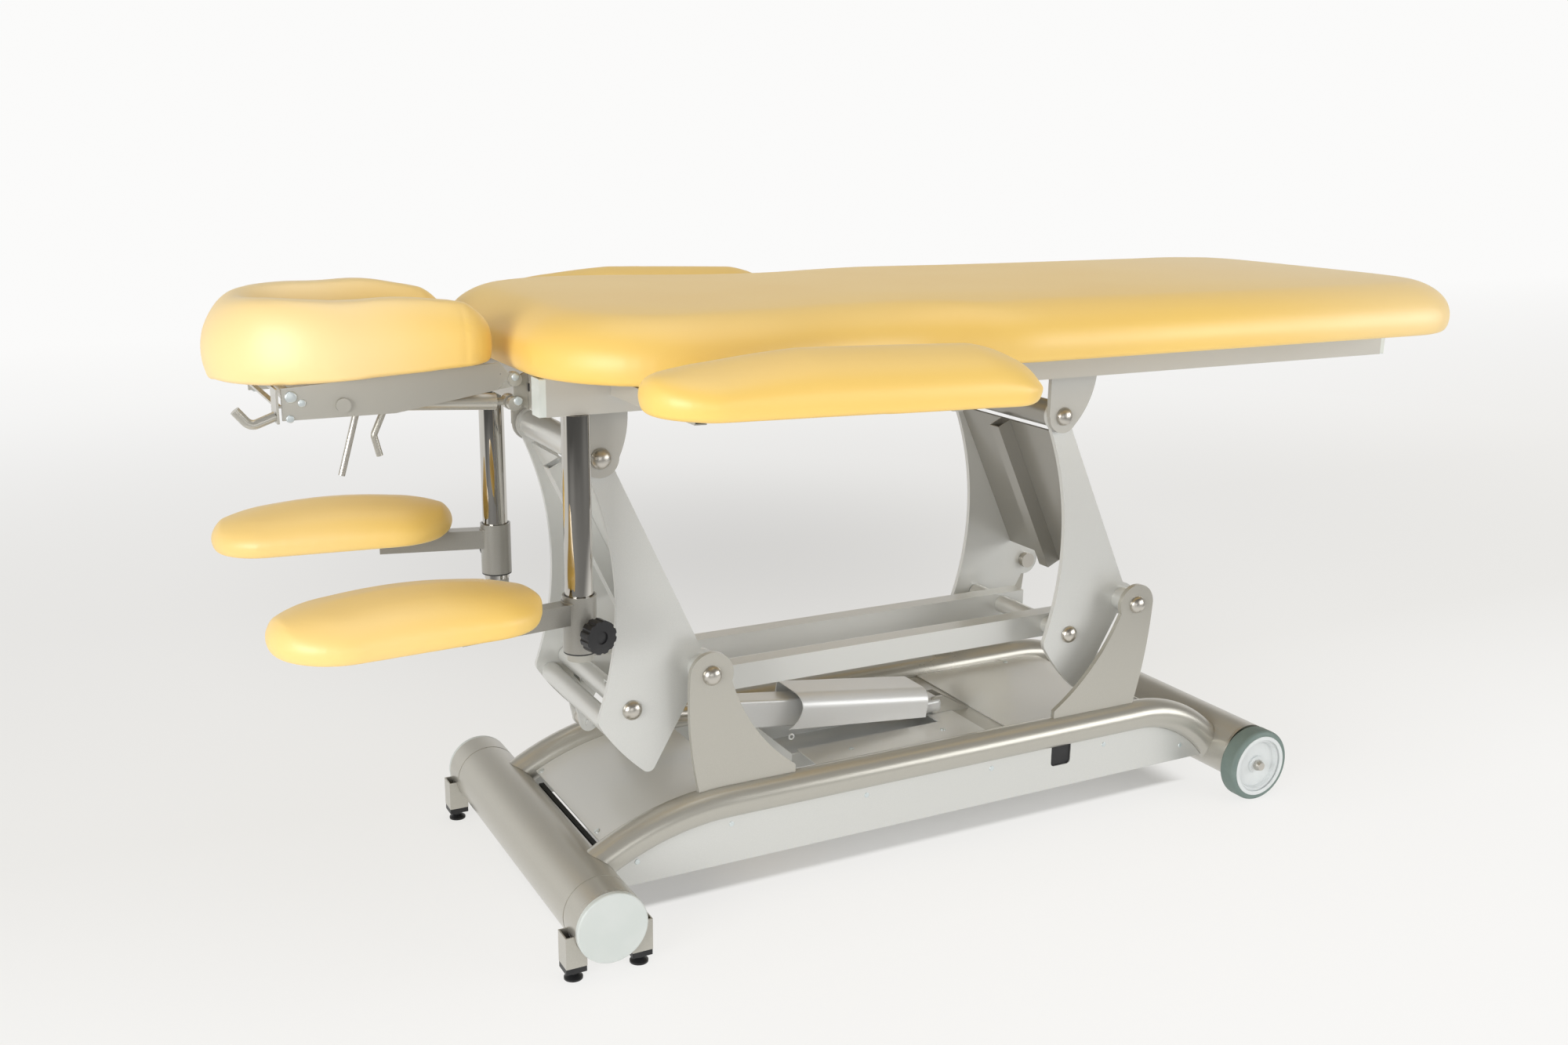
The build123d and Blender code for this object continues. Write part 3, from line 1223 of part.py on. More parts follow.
plate_inner = head_half - head_plate
face_plate_x = head_plate_end - face_plate_stand
control_top = head_floor(clamp_x - cross_rail_width) - touch_gap
control_low = control_top - cross_rail_height / 2
lug_z = control_low - cross_rail_height
control_pins = [(lever_x + lever_d, lug_z), (clamp_x + lever_d, lug_z)]
with BuildPart() as headrest_frame:
    top_right_x = hinge_x - 2 * head_plate_r
    for side in sides.values():
        with BuildSketch(side_plane(side, plate_inner, head_half)):
            with BuildLine():
                Polyline((head_plate_end, head_plate_low), (head_knee_x, head_plate_low),
                         (hinge_x, hinge_z - head_plate_r), (hinge_x, hinge_z),
                         (top_right_x, head_floor(top_right_x) - touch_gap),
                         (head_plate_end, head_floor(head_plate_end) - touch_gap), close=True)
            make_face()
            with Locations((hinge_x, hinge_z)):
                Circle(head_plate_r)
                Circle(hinge_bolt_d / 2 + weld_gap, mode=Mode.SUBTRACT)
        extrude(amount=head_plate)
        y_from, y_to = span(side, lug_outer - 2 * hinge_lug, head_half + weld_gap)
        bar_y(hinge_x, hinge_z, y_from, y_to, hinge_bolt_d / 2)
        y_from, y_to = span(side, head_half + weld_gap, head_half + hinge_head)
        bar_y(hinge_x, hinge_z, y_from, y_to, hinge_head_d / 2)
    inside = plate_inner - weld_gap
    strut_side = strut_y + strut_eye_width / 2 + 2 * touch_gap
    bar_y(head_bar_x, head_bar_z, -inside, inside, head_bar_d / 2)
    bar_y(strut_p_x, strut_p_z, -head_half - hinge_head, -head_half - weld_gap, hinge_head_d / 2)
    bar_y(strut_p_x, strut_p_z, -inside, -strut_side, head_bar_d / 2)
    block(clamp_x - cross_rail_width / 2, lever_x + cross_rail_width, -inside, inside, control_low,
          control_top)
    for gap_turn in (-1, 1):
        lug_y = -lever_y + gap_turn * (lever_d + touch_gap * 2) / 2
        y_from, y_to = (lug_y, lug_y + strut_lug) if gap_turn > 0 else (lug_y - strut_lug, lug_y)
        block(clamp_x - cross_rail_width / 4, lever_x + cross_rail_width * 3 / 4, y_from, y_to,
              lug_z - lever_d, control_low)
    for x, z in control_pins:
        reach_y = lever_d / 2 + strut_lug + touch_gap
        bar_y(x, z, -lever_y - reach_y, -lever_y + reach_y, lever_d / 3)
    block(face_plate_x, face_plate_x + face_plate_thickness, -head_half - face_plate_thickness,
          -head_half + face_plate_width, head_plate_low - face_plate_thickness,
          head_floor(face_plate_x) - touch_gap)
    block(face_plate_x, head_plate_end - weld_gap, -head_half, head_half, head_plate_low + head_bar_d,
          head_plate_low + head_bar_d + face_plate_thickness)
    hook_plane = Plane(origin=(0, -head_half + hook_d / 2, 0), x_dir=(1, 0, 0), z_dir=(0, -1, 0))
    with BuildLine(hook_plane) as hook_line:
        FilletPolyline((face_plate_x, head_plate_low + hook_d / 2), (face_plate_x - hook_out, hook_low_z),
                       (face_plate_x - hook_tip_out, hook_tip_z), radius=hook_d)
    hook_path = Wire(hook_line.edges())
    with BuildSketch(Plane(origin=hook_path @ 0, z_dir=hook_path % 0)) as profile:
        Circle(hook_d / 2)
    sweep(profile.sketch, path=hook_path)
keep(headrest_frame, "headrest_frame")

# Release lever and clamp rod, each with an eye on its pin between the lugs
lever_route = [control_pins[0], (lever_x, lever_z), (lever_x - lever_kick, lever_z - lever_drop),
               (lever_x - lever_kick / 2, lever_z - 2 * lever_drop)]
clamp_route = [control_pins[1], (clamp_foot_x, clamp_foot_z)]
for name, route in (("release_lever", lever_route), ("clamp_rod", clamp_route)):
    with BuildPart() as handle:
        with BuildLine(Plane(origin=(0, -lever_y, 0), x_dir=(1, 0, 0), z_dir=(0, -1, 0))) as bent:
            if len(route) > 2:
                FilletPolyline(*route, radius=lever_d)
            else:
                Line(*route)
        path = Wire(bent.edges())
        with BuildSketch(Plane(origin=path @ 0, z_dir=path % 0)) as profile:
            Circle(lever_d / 2 - running_gap)
        sweep(profile.sketch, path=path)
        bar_y(*route[0], -lever_y - lever_d / 2, -lever_y + lever_d / 2, lever_d)
        bar_y(*route[0], -lever_y - lever_d, -lever_y + lever_d, lever_d / 3 + running_gap, Mode.SUBTRACT)
    keep(handle, name)

# Head rest strut: a tube on the eye bolt, and the rod that slides in it
strut_reach = hypot(strut_p_x - hinge_x, strut_p_z - eye_z)
strut_dir = ((strut_p_x - hinge_x) / strut_reach, 0, (strut_p_z - eye_z) / strut_reach)


def across_strut(distance):
    """A plane square to the strut, at a distance from its bolt."""
    origin = (hinge_x + strut_dir[0] * distance, -strut_y, eye_z + strut_dir[2] * distance)
    return Plane(origin=origin, x_dir=(0, 1, 0), z_dir=strut_dir)


with BuildPart() as strut_tube:
    bar_y(hinge_x, eye_z, -strut_y - strut_eye_width / 2, -strut_y + strut_eye_width / 2, strut_eye_d / 2)
    with BuildSketch(across_strut(0)):
        Circle(strut_rod_d / 2)
    extrude(amount=strut_eye_d)
    with BuildSketch(across_strut(strut_eye_d)):
        Circle(strut_d / 2)
    extrude(amount=strut_length)
    with BuildSketch(across_strut(strut_eye_d + 2 * strut_wall)):
        Circle(strut_rod_d / 2 + running_gap)
    extrude(amount=strut_length, mode=Mode.SUBTRACT)
    bar_y(hinge_x, eye_z, -strut_y - strut_eye_width, -strut_y + strut_eye_width,
          hinge_bolt_d / 2 + running_gap, Mode.SUBTRACT)
keep(strut_tube, "strut_tube")

with BuildPart() as strut_rod:
    eye_half = strut_eye_width / 2
    bar_y(strut_p_x, strut_p_z, -strut_y - eye_half, -strut_y + eye_half, strut_eye_d / 2)
    with BuildSketch(across_strut(strut_reach / 2)):
        Circle(strut_rod_d / 2)
    extrude(amount=strut_reach / 2)
    bar_y(strut_p_x, strut_p_z, -strut_y - strut_eye_width, -strut_y + strut_eye_width,
          hinge_bolt_d / 2 + running_gap, Mode.SUBTRACT)
keep(strut_rod, "strut_rod")


def horseshoe(inset):
    """The head pad's outline: a ring open towards the table, drawn in by an inset."""
    half, slot = head_pad_half - inset, head_pad_slot + inset
    left_mid = head_pad_half
    slot_mid = head_pad_slot_x - head_pad_x + head_pad_slot
    lobe = (half - slot) / 2
    end = head_pad_length - (head_pad_half - head_pad_slot) / 2
    bulge = sqrt(1 / 2)
    for side in (-1, 1):
        ThreePointArc((left_mid - half, 0), (left_mid - half * bulge, side * half * bulge),
                      (left_mid, side * half))
        Line((left_mid, side * half), (end, side * half))
        middle = (half + slot) / 2
        ThreePointArc((end, side * half), (end + lobe * bulge, side * (middle + lobe * bulge)),
                      (end + lobe, side * middle))
        ThreePointArc((end + lobe, side * middle), (end + lobe * bulge, side * (middle - lobe * bulge)),
                      (end, side * slot))
        Line((end, side * slot), (slot_mid, side * slot))
        ThreePointArc((slot_mid, side * slot), (slot_mid - slot * bulge, side * slot * bulge),
                      (slot_mid - slot, 0))


# Head rest pad, in the plane of its tilted underside
with BuildPart() as headrest_pad:
    for up, inward in cushion_shares:
        height = head_pad_height * up
        origin = (head_pad_x - height * sin(head_tilt), 0, head_pad_left_z + height * cos(head_tilt))
        with BuildSketch(Plane(origin=origin, x_dir=(cos(head_tilt), 0, sin(head_tilt)),
                               z_dir=(-sin(head_tilt), 0, cos(head_tilt)))):
            with BuildLine():
                horseshoe(head_pad_edge * inward)
            make_face()
    loft()
keep(headrest_pad, "headrest_pad")
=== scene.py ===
import json
import math

import bmesh
import bpy
import numpy
from mathutils import Matrix, Vector


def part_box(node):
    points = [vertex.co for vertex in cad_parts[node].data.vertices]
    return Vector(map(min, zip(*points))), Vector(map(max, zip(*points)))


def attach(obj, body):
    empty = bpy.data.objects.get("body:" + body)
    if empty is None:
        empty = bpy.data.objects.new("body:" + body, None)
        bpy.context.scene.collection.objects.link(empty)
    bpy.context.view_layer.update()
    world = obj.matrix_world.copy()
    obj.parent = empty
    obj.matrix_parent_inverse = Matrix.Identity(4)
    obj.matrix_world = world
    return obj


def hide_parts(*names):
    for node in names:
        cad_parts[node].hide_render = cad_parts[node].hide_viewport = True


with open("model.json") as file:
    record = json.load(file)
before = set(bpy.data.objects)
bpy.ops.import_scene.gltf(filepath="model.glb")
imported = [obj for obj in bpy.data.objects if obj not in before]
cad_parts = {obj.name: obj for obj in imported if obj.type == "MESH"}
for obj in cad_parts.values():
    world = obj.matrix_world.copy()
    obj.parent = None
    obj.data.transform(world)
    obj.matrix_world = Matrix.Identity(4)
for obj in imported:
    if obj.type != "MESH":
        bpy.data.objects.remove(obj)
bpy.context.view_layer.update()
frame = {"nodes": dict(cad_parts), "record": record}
scene = bpy.context.scene

# Lengths are in metres. X runs from the head end (-) to the foot end (+), Y from the near side (-) to the
# far side (+), and Z up from the floor.
SIDES = ((-1, "near"), (1, "far"))


# Shader helpers

def add_node(tree, kind, feeds=None, **options):
    """Adds a shader node, sets its options, and gives each named socket a value or a link."""
    made = tree.nodes.new(kind)
    for option, value in options.items():
        setattr(made, option, value)
    for socket, value in (feeds or {}).items():
        if isinstance(value, bpy.types.NodeSocket):
            tree.links.new(value, made.inputs[socket])
        else:
            made.inputs[socket].default_value = value
    return made


def object_place(tree):
    """Coordinates that stay on a piece when it moves."""
    return add_node(tree, "ShaderNodeTexCoord").outputs["Object"]


def along_axis(tree, place, axis):
    """One of the three coordinates of a place."""
    return add_node(tree, "ShaderNodeSeparateXYZ", {0: place}).outputs[axis]


def noise(tree, place, scale, detail):
    """A soft random field."""
    return add_node(tree, "ShaderNodeTexNoise", {
        "Vector": place, "Scale": scale, "Detail": detail}).outputs["Fac"]


def compute(tree, operation, *values):
    """One step of arithmetic."""
    return add_node(tree, "ShaderNodeMath", dict(enumerate(values)), operation=operation).outputs[0]


def remap(tree, value, low, high, start=0.0, end=1.0, curve="LINEAR"):
    """Brings a value from the range low to high into the range start to end, and holds it there."""
    return add_node(tree, "ShaderNodeMapRange", {
        "Value": value, "From Min": low, "From Max": high, "To Min": start, "To Max": end},
        interpolation_type=curve).outputs["Result"]


def soft_step(tree, value, low, high, start=0.0, end=1.0):
    """The same with soft ends."""
    return remap(tree, value, low, high, start, end, "SMOOTHSTEP")


def blend(tree, share, first, second):
    """A colour between two others."""
    return add_node(tree, "ShaderNodeMix", {0: share, 6: first, 7: second}, data_type="RGBA").outputs[2]


def relief(tree, height, strength, distance):
    """A fine bump from a height field."""
    return add_node(tree, "ShaderNodeBump", {
        "Height": height, "Strength": strength, "Distance": distance}).outputs["Normal"]


def fresh_tree(owner):
    """The emptied node tree of a material or a world."""
    owner.use_nodes = True
    owner.node_tree.nodes.clear()
    return owner.node_tree


# Finishes

def start_group(name, colours, values, directions=()):
    """A node group with the given inputs, and a colour, a roughness and a normal put out."""
    tree = bpy.data.node_groups.new(name, "ShaderNodeTree")
    sockets = [(label, "INPUT", "NodeSocketColor") for label in colours]
    sockets += [(label, "INPUT", "NodeSocketFloat") for label in values]
    sockets += [(label, "INPUT", "NodeSocketVector") for label in directions]
    sockets += [("Colour", "OUTPUT", "NodeSocketColor"), ("Roughness", "OUTPUT", "NodeSocketFloat"),
                ("Normal", "OUTPUT", "NodeSocketVector")]
    for label, way, kind in sockets:
        tree.interface.new_socket(name=label, in_out=way, socket_type=kind)
    return tree, tree.nodes.new("NodeGroupInput").outputs, tree.nodes.new("NodeGroupOutput").inputs


def close_group(tree, out, colour, roughness, normal):
    """Links the three results of a group to what it puts out."""
    for label, result in (("Colour", colour), ("Roughness", roughness), ("Normal", normal)):
        tree.links.new(result, out[label])
    return tree


def leather_grain_group():
    """Leatherette: fine pebbled grain, soft pores, a slow drift of tone, and a painted highlight that pales
    the ends.
    """
    tree, given, out = start_group(
        "leatherette_grain", ("Colour", "Deep colour", "Painted highlight colour"), ("Grain", "Depth", "Gloss"))
    place = object_place(tree)
    pebble = add_node(tree, "ShaderNodeTexVoronoi", {"Vector": place, "Scale": given["Grain"]},
                      feature="SMOOTH_F1").outputs["Distance"]
    pores = noise(tree, place, 2400.0, 3.0)
    drift = noise(tree, place, 3.5, 4.0)
    ripple = noise(tree, place, 14.0, 2.0)
    swell = compute(tree, "MULTIPLY_ADD", ripple, 6.0, compute(tree, "ADD", pebble, pores))
    colour = blend(tree, remap(tree, drift, 0.3, 0.7), given["Colour"], given["Deep colour"])
    # Painted highlight: the head end, more where it is higher up, and the foot end turn towards a pale cream
    head_end = soft_step(tree, along_axis(tree, place, "X"), -0.66, -0.86)
    foot_end = soft_step(tree, along_axis(tree, place, "X"), 0.3, 1.0)
    low_down = remap(tree, along_axis(tree, place, "Z"), 0.68, 0.78, 0.45)
    painted_highlight = compute(tree, "MAXIMUM", compute(tree, "MULTIPLY", head_end, low_down), foot_end)
    return close_group(tree, out, blend(tree, painted_highlight, colour, given["Painted highlight colour"]),
                       compute(tree, "MULTIPLY_ADD", drift, 0.14, given["Gloss"]),
                       relief(tree, swell, given["Depth"], 0.0004))


def metal_coat_group():
    """Metallic paint: fine orange peel, a grain of flakes, and faint clouds of gloss."""
    tree, given, out = start_group("metallic_coat", ("Colour", "Flake colour"), ("Peel", "Depth", "Gloss"))
    place = object_place(tree)
    peel = noise(tree, place, given["Peel"], 2.0)
    flakes = noise(tree, place, 3200.0, 1.0)
    clouds = noise(tree, place, 5.0, 5.0)
    return close_group(tree, out,
                       blend(tree, remap(tree, flakes, 0.45, 0.75), given["Colour"], given["Flake colour"]),
                       compute(tree, "MULTIPLY_ADD", clouds, 0.1, given["Gloss"]),
                       relief(tree, peel, given["Depth"], 0.0003))


def brushed_metal_group():
    """Bare metal: lines along the given stretch, smears of the polishing wheel, and handling marks."""
    tree, given, out = start_group("brushed_metal", ("Colour", "Smear colour"), ("Depth", "Gloss", "Marks"),
                                   directions=("Stretch",))
    place = object_place(tree)
    drawn = add_node(tree, "ShaderNodeMapping", {"Vector": place, "Scale": given["Stretch"]})
    lines = noise(tree, drawn.outputs["Vector"], 60.0, 6.0)
    smears = remap(tree, noise(tree, place, 18.0, 4.0), 0.4, 0.75)
    return close_group(tree, out, blend(tree, smears, given["Colour"], given["Smear colour"]),
                       compute(tree, "MULTIPLY_ADD", smears, given["Marks"], given["Gloss"]),
                       relief(tree, lines, given["Depth"], 0.0002))


def moulded_plastic_group():
    """Moulded plastic or rubber: an eroded fine texture and a slow change of sheen."""
    tree, given, out = start_group("moulded_plastic", ("Colour", "Rubbed colour"),
                                   ("Texture", "Depth", "Gloss"))
    place = object_place(tree)
    skin = noise(tree, place, given["Texture"], 4.0)
    rubbed = noise(tree, place, 22.0, 3.0)
    return close_group(tree, out,
                       blend(tree, remap(tree, rubbed, 0.45, 0.8), given["Colour"], given["Rubbed colour"]),
                       compute(tree, "MULTIPLY_ADD", rubbed, 0.12, given["Gloss"]),
                       relief(tree, skin, given["Depth"], 0.0003))


def finish_material(name, group, feeds, shader):
    """A material whose colour, roughness and normal come from an effect group."""
    material = bpy.data.materials.new(name)
    tree = fresh_tree(material)
    effect = add_node(tree, "ShaderNodeGroup", node_tree=group)
    for socket, value in feeds.items():
        effect.inputs[socket].default_value = value
    surface = add_node(tree, "ShaderNodeBsdfPrincipled", {
        "Base Color": effect.outputs["Colour"], "Roughness": effect.outputs["Roughness"],
        "Normal": effect.outputs["Normal"], **shader})
    add_node(tree, "ShaderNodeOutputMaterial", {"Surface": surface.outputs[0]})
    return material


leather_grain = leather_grain_group()
metal_coat = metal_coat_group()
brushed_metal = brushed_metal_group()
moulded_plastic = moulded_plastic_group()

# The leatherette's pale third colour is a painted highlight on the ends of the pads
yellow_leatherette = finish_material("yellow_leatherette", leather_grain, {
    "Colour": (0.94, 0.625, 0.14, 1), "Deep colour": (0.92, 0.595, 0.125, 1),
    "Painted highlight colour": (0.94, 0.69, 0.3, 1), "Grain": 620.0, "Depth": 0.14,
    "Gloss": 0.43}, {"Specular IOR Level": 0.95, "Sheen Weight": 0.08, "Sheen Roughness": 0.4,
                     "Coat Weight": 0.35, "Coat Roughness": 0.45})
champagne_paint = finish_material("champagne_paint", metal_coat, {
    "Colour": (0.45, 0.435, 0.385, 1), "Flake colour": (0.56, 0.545, 0.49, 1), "Peel": 380.0, "Depth": 0.04,
    "Gloss": 0.24}, {"Metallic": 0.5, "Coat Weight": 0.3, "Coat Roughness": 0.24})
rail_paint = finish_material("rail_paint", metal_coat, {
    "Colour": (0.47, 0.465, 0.435, 1), "Flake colour": (0.47, 0.46, 0.42, 1), "Peel": 400.0, "Depth": 0.1,
    "Gloss": 0.4}, {"Metallic": 0.15, "Specular IOR Level": 0.4})
# Dark collar paint; on the rear arm frame it is painted shade of the frame's inner face
collar_and_shade_paint = finish_material("collar_and_shade_paint", metal_coat, {
    "Colour": (0.3, 0.29, 0.26, 1), "Flake colour": (0.4, 0.39, 0.355, 1), "Peel": 400.0, "Depth": 0.1,
    "Gloss": 0.26}, {"Metallic": 0.4, "Coat Weight": 0.3, "Coat Roughness": 0.14})
silver_paint = finish_material("silver_paint", metal_coat, {
    "Colour": (0.63, 0.635, 0.61, 1), "Flake colour": (0.72, 0.725, 0.7, 1), "Peel": 420.0, "Depth": 0.1,
    "Gloss": 0.28}, {"Metallic": 0.35, "Coat Weight": 0.2, "Coat Roughness": 0.16})
bright_steel = finish_material("bright_steel", brushed_metal, {
    "Colour": (0.62, 0.59, 0.53, 1), "Smear colour": (0.54, 0.52, 0.48, 1), "Stretch": (1, 1, 1),
    "Depth": 0.03, "Gloss": 0.31, "Marks": 0.08}, {"Metallic": 1.0})
zinc_plate = finish_material("zinc_plate", brushed_metal, {
    "Colour": (0.7, 0.75, 0.75, 1), "Smear colour": (0.6, 0.66, 0.68, 1), "Stretch": (1, 1, 1),
    "Depth": 0.03, "Gloss": 0.33, "Marks": 0.1}, {"Metallic": 0.65})
# A lighter copy of the silver paint for the base covers and the actuator's tray: painted light, standing in
# for light that reaches them under the table
cover_sheet_painted_light = finish_material("cover_sheet_painted_light", metal_coat, {
    "Colour": (0.72, 0.725, 0.7, 1), "Flake colour": (0.78, 0.785, 0.76, 1), "Peel": 420.0, "Depth": 0.05,
    "Gloss": 0.26}, {"Metallic": 0.25, "Coat Weight": 0.2, "Coat Roughness": 0.18})
chrome_tube = finish_material("chrome_tube", brushed_metal, {
    "Colour": (0.6, 0.58, 0.54, 1), "Smear colour": (0.56, 0.54, 0.5, 1), "Stretch": (1, 1, 0.05),
    "Depth": 0.02, "Gloss": 0.03, "Marks": 0.03}, {"Metallic": 1.0})
brushed_hood = finish_material("brushed_hood", metal_coat, {
    "Colour": (0.78, 0.785, 0.775, 1), "Flake colour": (0.84, 0.845, 0.835, 1), "Peel": 500.0, "Depth": 0.02,
    "Gloss": 0.3}, {"Metallic": 0.3})
black_plastic = finish_material("black_plastic", moulded_plastic, {
    "Colour": (0.012, 0.012, 0.013, 1), "Rubbed colour": (0.03, 0.03, 0.031, 1), "Texture": 1500.0,
    "Depth": 0.25, "Gloss": 0.34}, {"Specular IOR Level": 0.45})
pale_plastic = finish_material("pale_plastic", moulded_plastic, {
    "Colour": (0.6, 0.64, 0.615, 1), "Rubbed colour": (0.64, 0.67, 0.65, 1), "Texture": 900.0, "Depth": 0.1,
    "Gloss": 0.3}, {"Specular IOR Level": 0.5})
white_plastic = finish_material("white_plastic", moulded_plastic, {
    "Colour": (0.72, 0.75, 0.75, 1), "Rubbed colour": (0.66, 0.69, 0.69, 1), "Texture": 900.0, "Depth": 0.08,
    "Gloss": 0.24}, {"Specular IOR Level": 0.5})
grey_tyre = finish_material("grey_tyre", moulded_plastic, {
    "Colour": (0.17, 0.225, 0.205, 1), "Rubbed colour": (0.21, 0.27, 0.245, 1), "Texture": 700.0,
    "Depth": 0.3, "Gloss": 0.5}, {"Specular IOR Level": 0.4})

# The finish of each slot
finishes = {
    "yellow_leatherette": yellow_leatherette, "champagne_paint": champagne_paint,
    "silver_paint": silver_paint, "bright_steel": bright_steel, "chrome_tube": chrome_tube,
    "brushed_hood": brushed_hood, "black_plastic": black_plastic, "pale_plastic": pale_plastic,
    "white_plastic": white_plastic, "grey_tyre": grey_tyre,
}
# Pieces whose paint is another colour than their slot's. The rear arm frame's dark collar paint is painted
# shade, and the base covers' lighter sheet paint is painted light.
other_shades = {
    "side_rails": rail_paint, "lift_brackets": rail_paint, "rear_arm_frame": collar_and_shade_paint,
    "base_covers": cover_sheet_painted_light, "actuator_body": brushed_hood, "release_lever": champagne_paint,
    "arm_collar_near": collar_and_shade_paint, "arm_collar_far": collar_and_shade_paint, "strut_tube": champagne_paint,
}
for part in frame["record"]["subparts"]:
    surface = frame["nodes"][part["node"]].data
    surface.materials.clear()
    surface.materials.append(other_shades.get(part["node"], finishes[part["material_slot"]]))

# The columns' lowest stretch is a grey sleeve, not chrome
SLEEVE_TOP = 0.4345
SLEEVE_COLOUR = (0.36, 0.35, 0.31, 1)
SLEEVE_ROUGHNESS = 0.28
CHROME_ROUGHNESS = 0.03
tree = chrome_tube.node_tree
surface = next(node for node in tree.nodes if node.type == "BSDF_PRINCIPLED")
effect = next(node for node in tree.nodes if node.type == "GROUP")
chromed = compute(tree, "GREATER_THAN", along_axis(tree, object_place(tree), "Z"), SLEEVE_TOP)
for socket, value in (
        ("Base Color", blend(tree, chromed, SLEEVE_COLOUR, effect.outputs["Colour"])),
        ("Roughness", compute(tree, "MULTIPLY_ADD", chromed, CHROME_ROUGHNESS - SLEEVE_ROUGHNESS,
                              SLEEVE_ROUGHNESS)),
        ("Metallic", chromed)):
    tree.links.new(value, surface.inputs[socket])


# Modelling helpers

def take(piece):
    """Makes one piece the only one selected and the active one."""
    bpy.ops.object.select_all(action="DESELECT")
    piece.select_set(True)
    bpy.context.view_layer.objects.active = piece


def apply_place(piece):
    """Puts a piece's place, turn and scale into its mesh."""
    take(piece)
    bpy.ops.object.transform_apply(location=True, rotation=True, scale=True)


def settle(piece, body, slot_name, name=None, finish=None):
    """Puts a finished piece's place into its mesh, gives it its finish, and lets it ride."""
    if name:
        piece.name = name
    apply_place(piece)
    piece.data.materials.clear()
    piece.data.materials.append(finish or finishes[slot_name])
    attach(piece, body)


def apply_all(piece):
    """Applies every modifier of a piece in order."""
    take(piece)
    for modifier in list(piece.modifiers):
        bpy.ops.object.modifier_apply(modifier=modifier.name)


def copy_piece(piece, name, move):
    """A copy of a finished piece with its own mesh, moved in the mesh."""
    twin = piece.copy()
    twin.data = piece.data.copy()
    twin.name = name
    scene.collection.objects.link(twin)
    twin.data.transform(move)
    return twin


def start_shape(add_shape, **options):
    """A starting mesh for a new piece."""
    bpy.ops.object.select_all(action="DESELECT")
    add_shape(**options)
    return bpy.context.object


def pick(piece, kind, test):
    """Selects those faces, edges or vertices of a piece in edit mode that pass a test."""
    bpy.ops.mesh.select_all(action="DESELECT")
    cage = bmesh.from_edit_mesh(piece.data)
    for item in getattr(cage, kind):
        item.select = test(item)
    bmesh.update_edit_mesh(piece.data)


def add_thickness(piece, thickness, offset=0):
    """Gives a sheet its thickness."""
    wall = piece.modifiers.new("sheet", "SOLIDIFY")
    wall.thickness = thickness
    wall.offset = offset


def round_edges(piece, width, segments=2):
    """Rounds a piece's sharp edges, and applies all that was set up before."""
    edge = piece.modifiers.new("edge", "BEVEL")
    edge.width = width
    edge.segments = segments
    apply_all(piece)


def shade_by_angle(piece, degrees):
    """Smooth shading that keeps the sharp edges."""
    take(piece)
    bpy.ops.object.shade_smooth_by_angle(angle=math.radians(degrees))


def smooth(value, low, high):
    """Nought below the low value, one above the high one, and a soft step between."""
    share = max(0.0, min(1.0, (value - low) / (high - low)))
    return share * share * (3 - 2 * share)


# Cushions

AIR_PRESSURE = 4.0
CLOTH_FRAMES = 20
# A pad is drawn in by this share of its cap before it swells, fully from this height over its board
DRAWN_IN = 0.55
DRAWN_IN_FROM = 0.01
GLUED_UP_TO = 0.004
EVENING_ROUNDS = 60


def merged_copy(node, name):
    """A welded copy of a CAD node's mesh as a loose object."""
    piece = bpy.data.objects.new(name, frame["nodes"][node].data.copy())
    scene.collection.objects.link(piece)
    take(piece)
    bpy.ops.object.mode_set(mode="EDIT")
    bpy.ops.mesh.select_all(action="SELECT")
    bpy.ops.mesh.remove_doubles(threshold=0.00002)
    bpy.ops.object.mode_set(mode="OBJECT")
    return piece


def relax(piece, rounds):
    """Evens out a remeshed cushion."""
    take(piece)
    evening = piece.modifiers.new("even", "SMOOTH")
    evening.iterations = rounds
    evening.factor = 0.5
    bpy.ops.object.modifier_apply(modifier=evening.name)


def even_out(surface, amounts, rounds):
    """Spreads an amount at each vertex evenly to its neighbours, round by round."""
    ends = numpy.empty(len(surface.edges) * 2, dtype=numpy.int64)
    surface.edges.foreach_get("vertices", ends)
    ends = ends.reshape(-1, 2)
    first, second = ends[:, 0], ends[:, 1]
    count = numpy.bincount(ends.ravel(), minlength=len(amounts))
    for _ in range(rounds):
        around = (numpy.bincount(first, weights=amounts[second], minlength=len(amounts))
                  + numpy.bincount(second, weights=amounts[first], minlength=len(amounts)))
        amounts = 0.5 * amounts + 0.5 * around / count
    return amounts


def inflate(piece, cap, base):
    """Swells a cushion under air pressure, with its board side held, by no more than a cap."""
    surface = piece.data
    normals = [vertex.normal.copy() for vertex in surface.vertices]
    start = []
    for vertex, outward in zip(surface.vertices, normals):
        vertex.co -= outward * (cap * DRAWN_IN * min(1.0, max(0.0, base(vertex.co) / DRAWN_IN_FROM)))
        start.append(vertex.co.copy())
    held = piece.vertex_groups.new(name="board")
    held.add([vertex.index for vertex in surface.vertices if base(vertex.co) < GLUED_UP_TO], 1.0, "REPLACE")
    cover = piece.modifiers.new("cover", "CLOTH")
    cover.settings.quality = 4
    cover.settings.use_pressure = True
    cover.settings.uniform_pressure_force = AIR_PRESSURE
    cover.settings.effector_weights.gravity = 0.0
    cover.settings.vertex_group_mass = held.name
    cover.settings.pin_stiffness = 1.0
    cover.point_cache.frame_start = 1
    cover.point_cache.frame_end = CLOTH_FRAMES
    for step in range(1, CLOTH_FRAMES + 1):
        scene.frame_set(step)
    take(piece)
    bpy.ops.object.modifier_apply(modifier=cover.name)
    surface = piece.data
    swell = even_out(surface, numpy.array([
        max(0.0, min(cap, (vertex.co - rest).dot(outward)))
        for vertex, rest, outward in zip(surface.vertices, start, normals)]), EVENING_ROUNDS)
    for vertex, rest, outward, amount in zip(surface.vertices, start, normals, swell):
        vertex.co = rest + outward * float(amount)
    scene.frame_set(1)


